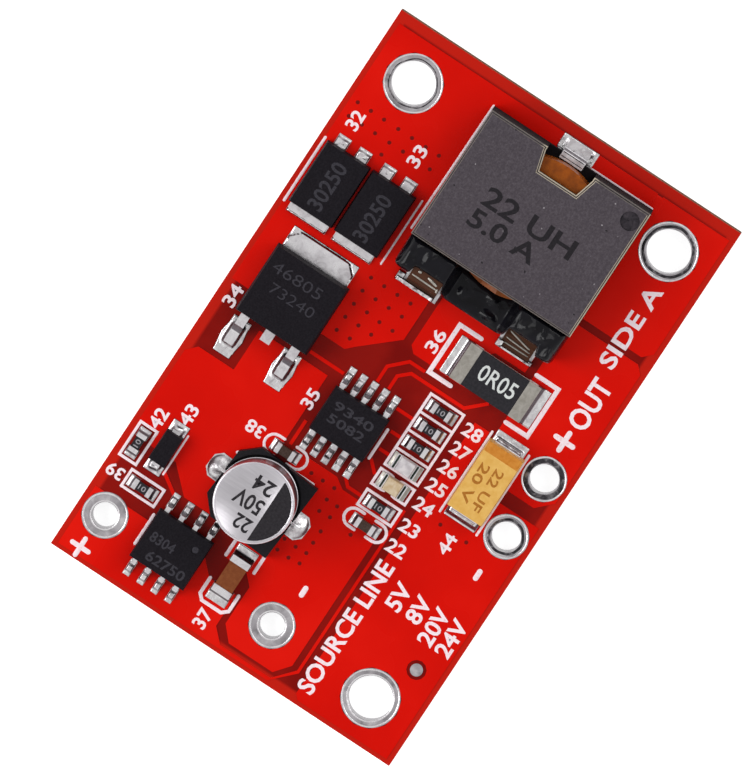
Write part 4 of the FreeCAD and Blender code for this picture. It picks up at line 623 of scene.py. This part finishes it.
header = {"outerLow": 7.96, "outerHigh": 8.27, "inner": 11.03, "front": -8.9, "back": 5.5, "armTop": 5.62,
          "saddleTop": 3.6, "saddleHalf": 2.65, "saddleEase": 0.12, "pocket": 9.0, "pocketHalf": 1.36,
          "pocketEase": 0.04, "wireRows": (2.6, -6.0), "coil": (16.18, 5.72), "square": 6.7, "lump": 0.08,
          "swells": [(9.6, 4.75, 1.0, 0.45, 0.3), (10.2, 3.3, 0.6, 0.4, 0.25), (8.7, -2.9, 0.35, 0.6, 0.42),
                     (10.0, -2.5, 0.3, 0.4, 0.3), (9.3, -0.3, 0.6, 0.5, 0.2), (9.9, -5.8, 0.5, 0.45, 0.3),
                     (9.9, -7.4, 0.4, 0.45, 0.32), (9.0, -8.2, 0.5, 0.3, 0.25)]}


def makeHeader():
    # a rounded loaf carried along Y: its outline is a squared oval from the base up, low at the saddle, drawn back at
    # the two wire ends and hollowed to the coil, with slow waves and swells on top; its ends shrink to a line
    rows = 240
    along = np.linspace(header["front"], header["back"], rows)
    middle, half = (along[0] + along[-1]) / 2, (along[-1] - along[0]) / 2
    taper = np.clip(1 - np.abs((along - middle) / half) ** 30, 0, 1) ** 0.5
    ease = 1 / (1 + np.exp(-(np.abs(along - middle) - header["saddleHalf"]) / header["saddleEase"]))
    top = header["saddleTop"] + (header["armTop"] - header["saddleTop"]) * ease
    drawn = np.max([1 / (1 + np.exp((np.abs(along - row) - header["pocketHalf"]) / header["pocketEase"]))
                    for row in header["wireRows"]], axis=0)
    outer = header["outerLow"] + (header["outerHigh"] - header["outerLow"]) * ease
    outer = outer + (header["pocket"] - outer) * drawn
    coilX, coilRadius = header["coil"]
    inner = np.minimum(header["inner"], coilX - np.sqrt(np.clip(coilRadius ** 2 - (along - middle) ** 2, 0, None)))
    run = np.sin(np.linspace(-math.pi / 2, math.pi / 2, 41))
    arch = (1 - np.abs(run) ** header["square"]) ** (1 / header["square"])  # |side| ^ n + |rise| ^ n = 1
    side, rise = np.concatenate([run, run[-2:0:-1]]), np.concatenate([arch, -arch[-2:0:-1]])
    around = len(side)
    centreX, halfX = (outer + inner) / 2, (inner - outer) / 2
    centreZ, halfZ = (top + seat) / 2, (top - seat) / 2
    x = centreX[:, None] + halfX[:, None] * side * np.where(side < 0, taper[:, None] ** 0.3, 1)
    z = centreZ[:, None] + halfZ[:, None] * rise
    y = np.repeat(along[:, None], around, axis=1)
    wave = header["lump"] * waves(0.8 * x, 0.7 * y, 2.6)
    for atX, atY, spreadX, spreadY, height in header["swells"]:  # where the varnish ran together
        wave = wave + height * np.exp(-((x - atX) / spreadX) ** 2 - ((y - atY) / spreadY) ** 2)
    z = z + (wave - header["lump"]) * np.clip(rise, 0, 1)
    z = seat + (z - seat) * taper[:, None] ** 0.5
    points = np.stack([x, y, z], axis=-1)
    makePiece("header_block", [(points, gridFaces(rows, around, around=True))], "glossy_black",
              ("inductor_header",), crease=60)


makeHeader()
print("inductor header made")

can = {"x": -12.7, "y": 4.2, "radius": 3.15, "top": 7.1, "foot": 2.6, "rim": 0.16, "dish": 0.08, "crimp": 3.5,
       "chord": 3.1}


def makeCan():  # a drawn can: flat top sunk inside a rolled rim, straight wall, and the groove that holds the bung
    r, top, foot, rim, groove = can["radius"], can["top"], can["foot"], can["rim"], can["crimp"]
    lower = [(0.0, foot), (r - 0.2, foot), (r - 0.05, foot + 0.04), (r, foot + 0.16), (r, groove - 0.35)]
    crimp = [(r - 0.17 * math.sin(a) ** 1.5, groove - 0.3 * math.cos(a)) for a in np.linspace(0, math.pi, 9)]
    shoulder = [(r - rim * (1 - math.cos(a)), top - rim * (1 - math.sin(a))) for a in np.linspace(0, math.pi / 2, 7)]
    inward = [(r - rim - 0.02, top - 0.01), (r - rim - 0.05, top - 0.05), (r - rim - 0.08, top - can["dish"]),
              (0.0, top - can["dish"])]
    profile = lower + crimp + [(r, groove + 0.35)] + shoulder + inward
    makePiece("can_shell", [turned(profile, can["x"], can["y"], 128)], "can_aluminium",
              ("capacitor_can",), crease=50)


def makeCanMark():  # the printed half moon: rows between a chord of the top and its rim
    radius, chord, low = can["radius"] - can["rim"] - 0.09, can["chord"] - can["y"], can["top"] - can["dish"] - 0.002
    u, t = np.meshgrid(np.linspace(-1, 1, 49), np.linspace(0, 1, 25), indexing="ij")
    y = chord + (-radius - chord) * t
    x = u * np.sqrt(np.clip(radius ** 2 - y ** 2, 0, None))
    rim = np.minimum(np.minimum(1 - np.abs(u), t) / 0.04, 1)
    makePiece("can_mark", [pillow(can["x"] + x, can["y"] + y, low + 0.012 * np.clip(rim, 0, 1), low)], "can_ink")


band = {"box": (0.1, 0.94, -11.22, -8.18), "low": 4.298, "rise": 0.01}


def makeBand():  # the coloured end of the tantalum capacitor's top
    makePiece("tantalum_band", [film(*band.values(), 15, 31)], "band_ink")


makeCan()
makeCanMark()
makeBand()
print("round capacitor and band made")


def inkPath(points, width=0.22, closed=False, lift=0.0, low=boardTop, high=maskTop + 0.014):
    # a flat rib carried along a line of points: its sides lie half a width off, square to the line and mitred at the
    # corners; an open rib's ends are half circles
    line = np.array(points + points[:1] if closed else points, float)
    step = np.diff(line, axis=0)
    step /= np.linalg.norm(step, axis=1, keepdims=True)
    before = np.concatenate([step[-1:] if closed else step[:1], step])
    after = np.concatenate([step, step[:1] if closed else step[-1:]])
    square, normal = after[:, ::-1] * (-1, 1), (before + after)[:, ::-1] * (-1, 1)
    normal = normal / (normal * square).sum(axis=1, keepdims=True)
    half = np.full(len(line), width / 2)
    if not closed:
        turn = np.radians([90, 70, 45, 20])
        first = line[0] - step[0] * np.sin(turn)[:, None] * width / 2
        last = line[-1] + step[-1] * np.sin(turn[::-1])[:, None] * width / 2
        line = np.concatenate([first, line, last])
        normal = np.concatenate([normal[:1].repeat(4, 0), normal, normal[-1:].repeat(4, 0)])
        half = np.concatenate([np.cos(turn) * width / 2, half, np.cos(turn[::-1]) * width / 2])
    inset = np.clip(half - 0.012, 0, None)
    across = np.stack([-half, -half, -inset, inset, half, half], axis=1)
    level = np.array([low, high - 0.008, high, high, high - 0.008, low]) + lift * np.array([0, 1, 1, 1, 1, 0])
    flat = line[:, None] + normal[:, None] * across[..., None]
    points = np.concatenate([flat, np.broadcast_to(level[None, :, None], (*flat.shape[:2], 1))], axis=-1)
    return points, gridFaces(len(line), 6, around=True)


def arc(x, y, radius, start, end, count=9):
    return [(x + radius * math.cos(a), y + radius * math.sin(a)) for a in np.radians(np.linspace(start, end, count))]


def box(x0, x1, y0, y1):
    return [(x0, y0), (x1, y0), (x1, y1), (x0, y1)]


ink = {  # the board's printed lines: the width of each and the points that it runs through
    "open": [
        (0.22, [(7.4, 15.0), (13.15, 15.0)]), (0.16, [(7.4, 6.15), (13.15, 6.15)]),
        (0.24, [(-5.55, -1.25), (-2.95, -1.25)]), (0.24, [(-20.95, 10.1), (-18.3, 10.1)]),
        (0.22, [(-10.75, 7.4), (-9.55, 6.1)]), (0.22, [(-9.6, 1.2), (-9.6, 2.8)]),
        (0.18, [(11.0, 5.72), (22.25, 5.6)]), (0.14, [(22.35, -3.3), (22.35, -8.8)]),
        (0.36, [(2.52, -3.4), (2.52, -1.45), (6.83, -1.45), (6.83, -3.4)]),
        (0.36, [(2.52, -8.45), (2.52, -10.42), (6.83, -10.42), (6.83, -8.45)]),
        (0.2, [(-5.95, -8.0), (1.35, -8.0)]), (0.2, [(-5.95, -11.35), (1.35, -11.35)]),
        (0.28, [(-19.95, 1.25), (-21.35, 1.25), (-21.75, 1.7), (-21.75, 3.45), (-21.35, 3.85), (-19.95, 3.85)]),
        (0.28, [(-17.8, 1.25), (-16.35, 1.25)]), (0.28, [(-17.8, 3.8), (-16.35, 3.8)]),
        (0.22, [(-7.9, 4.9), *arc(-8.67, 5.4, 0.77, 0, 180), (-9.44, 4.9)]),
        (0.22, [(-9.44, 3.8), *arc(-8.67, 3.25, 0.77, 180, 360), (-7.9, 3.8)]),
        (0.24, [(-9.3, -3.3), *arc(-10.03, -2.75, 0.74, 0, 180), (-10.77, -3.3)]),
        (0.24, [(-10.77, -4.35), *arc(-10.03, -4.9, 0.74, 180, 360), (-9.3, -4.35)]),
        (0.16, [(-15.3, 11.2), (-11.8, 11.2)]), (0.2, [(-3.7, -5.5), (-3.7, -2.5)]),
        (0.2, [(-2.05, -5.5), (-2.05, -2.5)]), (0.2, [(-0.4, -5.5), (-0.4, -2.5)]),
        (0.38, [(-24.2, 13.45), (-22.75, 13.45)]), (0.42, [(3.0, -13.0), (4.5, -13.0)]),
        (0.42, [(-17.2, -2.7), (-16.6, -2.7)]), (0.42, [(-8.75, -13.1), (-8.15, -13.1)]),
        (0.22, [(-7.0, -3.6), (-7.05, -3.35), (-7.05, -2.45), (-5.7, -2.45), (-5.7, -3.35), (-5.75, -3.6)]),
        (0.22, [(-7.0, -4.3), (-7.05, -4.55), (-7.05, -5.5), (-5.7, -5.5), (-5.7, -4.55), (-5.75, -4.3)])],
    "crossing": [(0.38, [(-23.48, 12.72), (-23.48, 14.17)]), (0.42, [(3.75, -13.75), (3.75, -12.25)])],
    "closed": [box(-15.85, -12.85, 13.35, 14.85), box(-17.8, -16.3, 10.45, 13.4), box(-9.0, -7.6, -5.5, -2.45),
               box(-5.25, 1.2, -5.5, -2.5)]}


def makeInkLines():  # bars that cross or meet lie a micron or more apart
    bars = [inkPath(points, width, lift=0.001 * (index % 3)) for index, (width, points) in enumerate(ink["open"])]
    bars += [inkPath(points, width, lift=0.005) for width, points in ink["crossing"]]
    bars += [inkPath(points, 0.22, True, lift=0.004) for points in ink["closed"]]
    makePiece("board_ink_lines", bars, "ink")
    bands = [inkPath([(x - 0.5, -3.95 + y), (x + 0.5, -3.95 + y)], 0.16, low=1.99, high=2.012)
             for x in (-6.35, -4.55) for y in (-0.83, 0.83)]
    makePiece("lamp_bands", bands, "lamp_ink")
    # two dark tin lines along the clip: painted shade between its highlights
    ribs = [inkPath([(x, -2.6), (x, -0.8)], 0.07, low=2.79, high=2.812) for x in (22.05, 22.4)]
    makePiece("clip_lines", ribs, "dark_tin")


makeInkLines()


def wordMesh(text, x0, x1, y0, y1, reading, low, thick, bold):
    # letters made a mesh first, then stretched to the place they have on the part and turned the way they read
    curve = bpy.data.curves.new("word", "FONT")
    curve.body, curve.size, curve.offset, curve.extrude = text, 1.0, bold, 0.5
    curve.resolution_u = 3
    holder = bpy.data.objects.new("word", curve)
    mesh = bpy.data.meshes.new_from_object(holder)
    points = np.zeros(len(mesh.vertices) * 3, np.float32)
    mesh.vertices.foreach_get("co", points)
    points = points.reshape(-1, 3).astype(float)
    unit = (points - points.min(axis=0)) / np.ptp(points, axis=0)
    right = np.array({0: (1, 0), 90: (0, 1), -90: (0, -1), 180: (-1, 0)}[reading])
    up = right[::-1] * (-1, 1)
    long, tall = (x1 - x0, y1 - y0) if reading in (0, 180) else (y1 - y0, x1 - x0)
    flat = (np.array([(x0 + x1) / 2, (y0 + y1) / 2]) + (unit[:, :1] - 0.5) * long * right
            + (unit[:, 1:2] - 0.5) * tall * up)
    placed = np.concatenate([flat, low + unit[:, 2:] * thick], axis=1) * mm
    mesh.vertices.foreach_set("co", placed.astype(np.float32).ravel())
    bpy.data.objects.remove(holder)
    bpy.data.curves.remove(curve)
    return mesh


def makeWords(name, rows, finish, low, thick, bold):
    work = bmesh.new()
    for word in rows:
        mesh = wordMesh(*word, low, thick, bold)
        work.from_mesh(mesh)
        bpy.data.meshes.remove(mesh)
    mesh = bpy.data.meshes.new(name)
    work.to_mesh(mesh)
    work.free()
    seatPiece(name, mesh, finish)


words = {  # each piece: its words, with their box and the way they read; finish, foot, thickness and boldness
    "board_words": (
        [("SOURCE LINE", -23.3, -11.5, -7.6, -6.15, 0), ("OUT", 5.1, 9.3, -13.95, -12.2, 0),
         ("SIDE A", 10.3, 17.5, -13.1, -11.7, 0)]
        + [(text, -12.1 - wide, -12.1, y - 0.68, y + 0.68, 0) for text, wide, y in
           (("5V", 2.2, -9.0), ("8V", 2.2, -10.8), ("20V", 3.1, -12.5), ("24V", 3.1, -14.1))]
        + [(str(22 + index), x - 0.55, x + 0.55, -7.6, -6.0, -90) for index, x in
           enumerate((-10.2, -8.35, -6.35, -4.6, -2.9, -1.25, 0.45))]
        + [("32", 14.75, 16.25, 13.25, 14.35, 0), ("33", 14.95, 16.65, 7.8, 8.9, 0),
           ("34", -1.75, 0.0, 13.7, 14.8, 0), ("35", -5.0, -3.45, 4.45, 5.5, 0), ("36", 3.85, 5.7, -1.1, -0.05, 0),
           ("37", -23.65, -22.15, 2.05, 3.2, 0), ("38", -9.0, -7.95, 6.5, 8.0, 90),
           ("39", -17.65, -16.6, 13.7, 15.1, 90), ("42", -12.7, -11.1, 13.3, 14.4, 0),
           ("43", -11.25, -9.6, 11.5, 12.6, 0), ("44", -8.6, -6.95, -10.35, -9.35, 0)],
        "ink", maskTop - 0.002, 0.017, 0.024),
    "shunt_words": ([("0R05", 4.15, 5.5, -7.85, -4.65, -90)], "overglaze_ink", 2.378, 0.012, 0.01),
    "inductor_words": ([("22 UH", 15.85, 17.5, -5.6, 2.4, -90), ("5.0 A", 13.95, 15.5, -3.4, 2.5, -90)],
                       "ferrite_ink", 6.145, 0.012, 0.02),
    "can_words": ([("22", -15.05, -13.9, 3.4, 4.8, 90), ("50V", -13.45, -12.15, 3.4, 5.8, 90),
                   ("24", -11.8, -10.6, 3.4, 5.1, 90)], "can_ink", 7.018, 0.012, 0.02),
    "chip_words": ([("30250", 8.2, 12.2, 12.15, 13.45, 0), ("30250", 8.1, 12.0, 7.95, 9.25, 0)],
                   "laser", 2.795, 0.01, 0.02),
    "transistor_words": ([("46805", 2.6, 3.5, 8.6, 12.9, -90), ("73240", 1.1, 1.95, 8.3, 12.2, -90)],
                         "laser", 3.995, 0.01, -0.006),
    "controller_words": ([("9340", -3.75, -3.0, -0.3, 3.2, -90), ("5082", -4.8, -4.05, -0.1, 3.1, -90)],
                         "laser", 3.195, 0.01, 0.02),
    "switch_words": ([("8304", -19.95, -19.1, 7.3, 9.4, -90), ("62750", -21.35, -20.5, 5.5, 8.9, -90)],
                     "laser", 3.195, 0.01, 0.02)}
smallWords = {
    "resistor_words": ([("10", x - 0.21, x + 0.21, y - 0.3, y + 0.3, -90) for x, y in
                        ((0.45, -3.95), (-1.2, -3.95), (-2.85, -3.95), (-8.3, -3.95), (-17.05, 11.95))]
                       + [("10", -14.65, -14.05, 13.94, 14.36, 0)], "chip_ink", 2.107, 0.01, 0.01),
    "tantalum_words": ([("22 UF", -4.2, -0.55, -10.55, -9.75, 180), ("20 V", -4.1, -0.7, -9.4, -8.6, 180)],
                       "mark_ink", 4.295, 0.01, 0.02)}
pinDot = [(0.0, 3.19), (0.24, 3.19), (0.25, 3.2), (0.22, 3.206), (0.0, 3.206)]
for name, row in words.items():
    makeWords(name, *row)
makePiece("switch_dot", [turned(pinDot, -18.63, 5.95, 28)], "laser")  # beside the switch's first lead
for name, row in smallWords.items():
    makeWords(name, *row)
print("ink and words made")
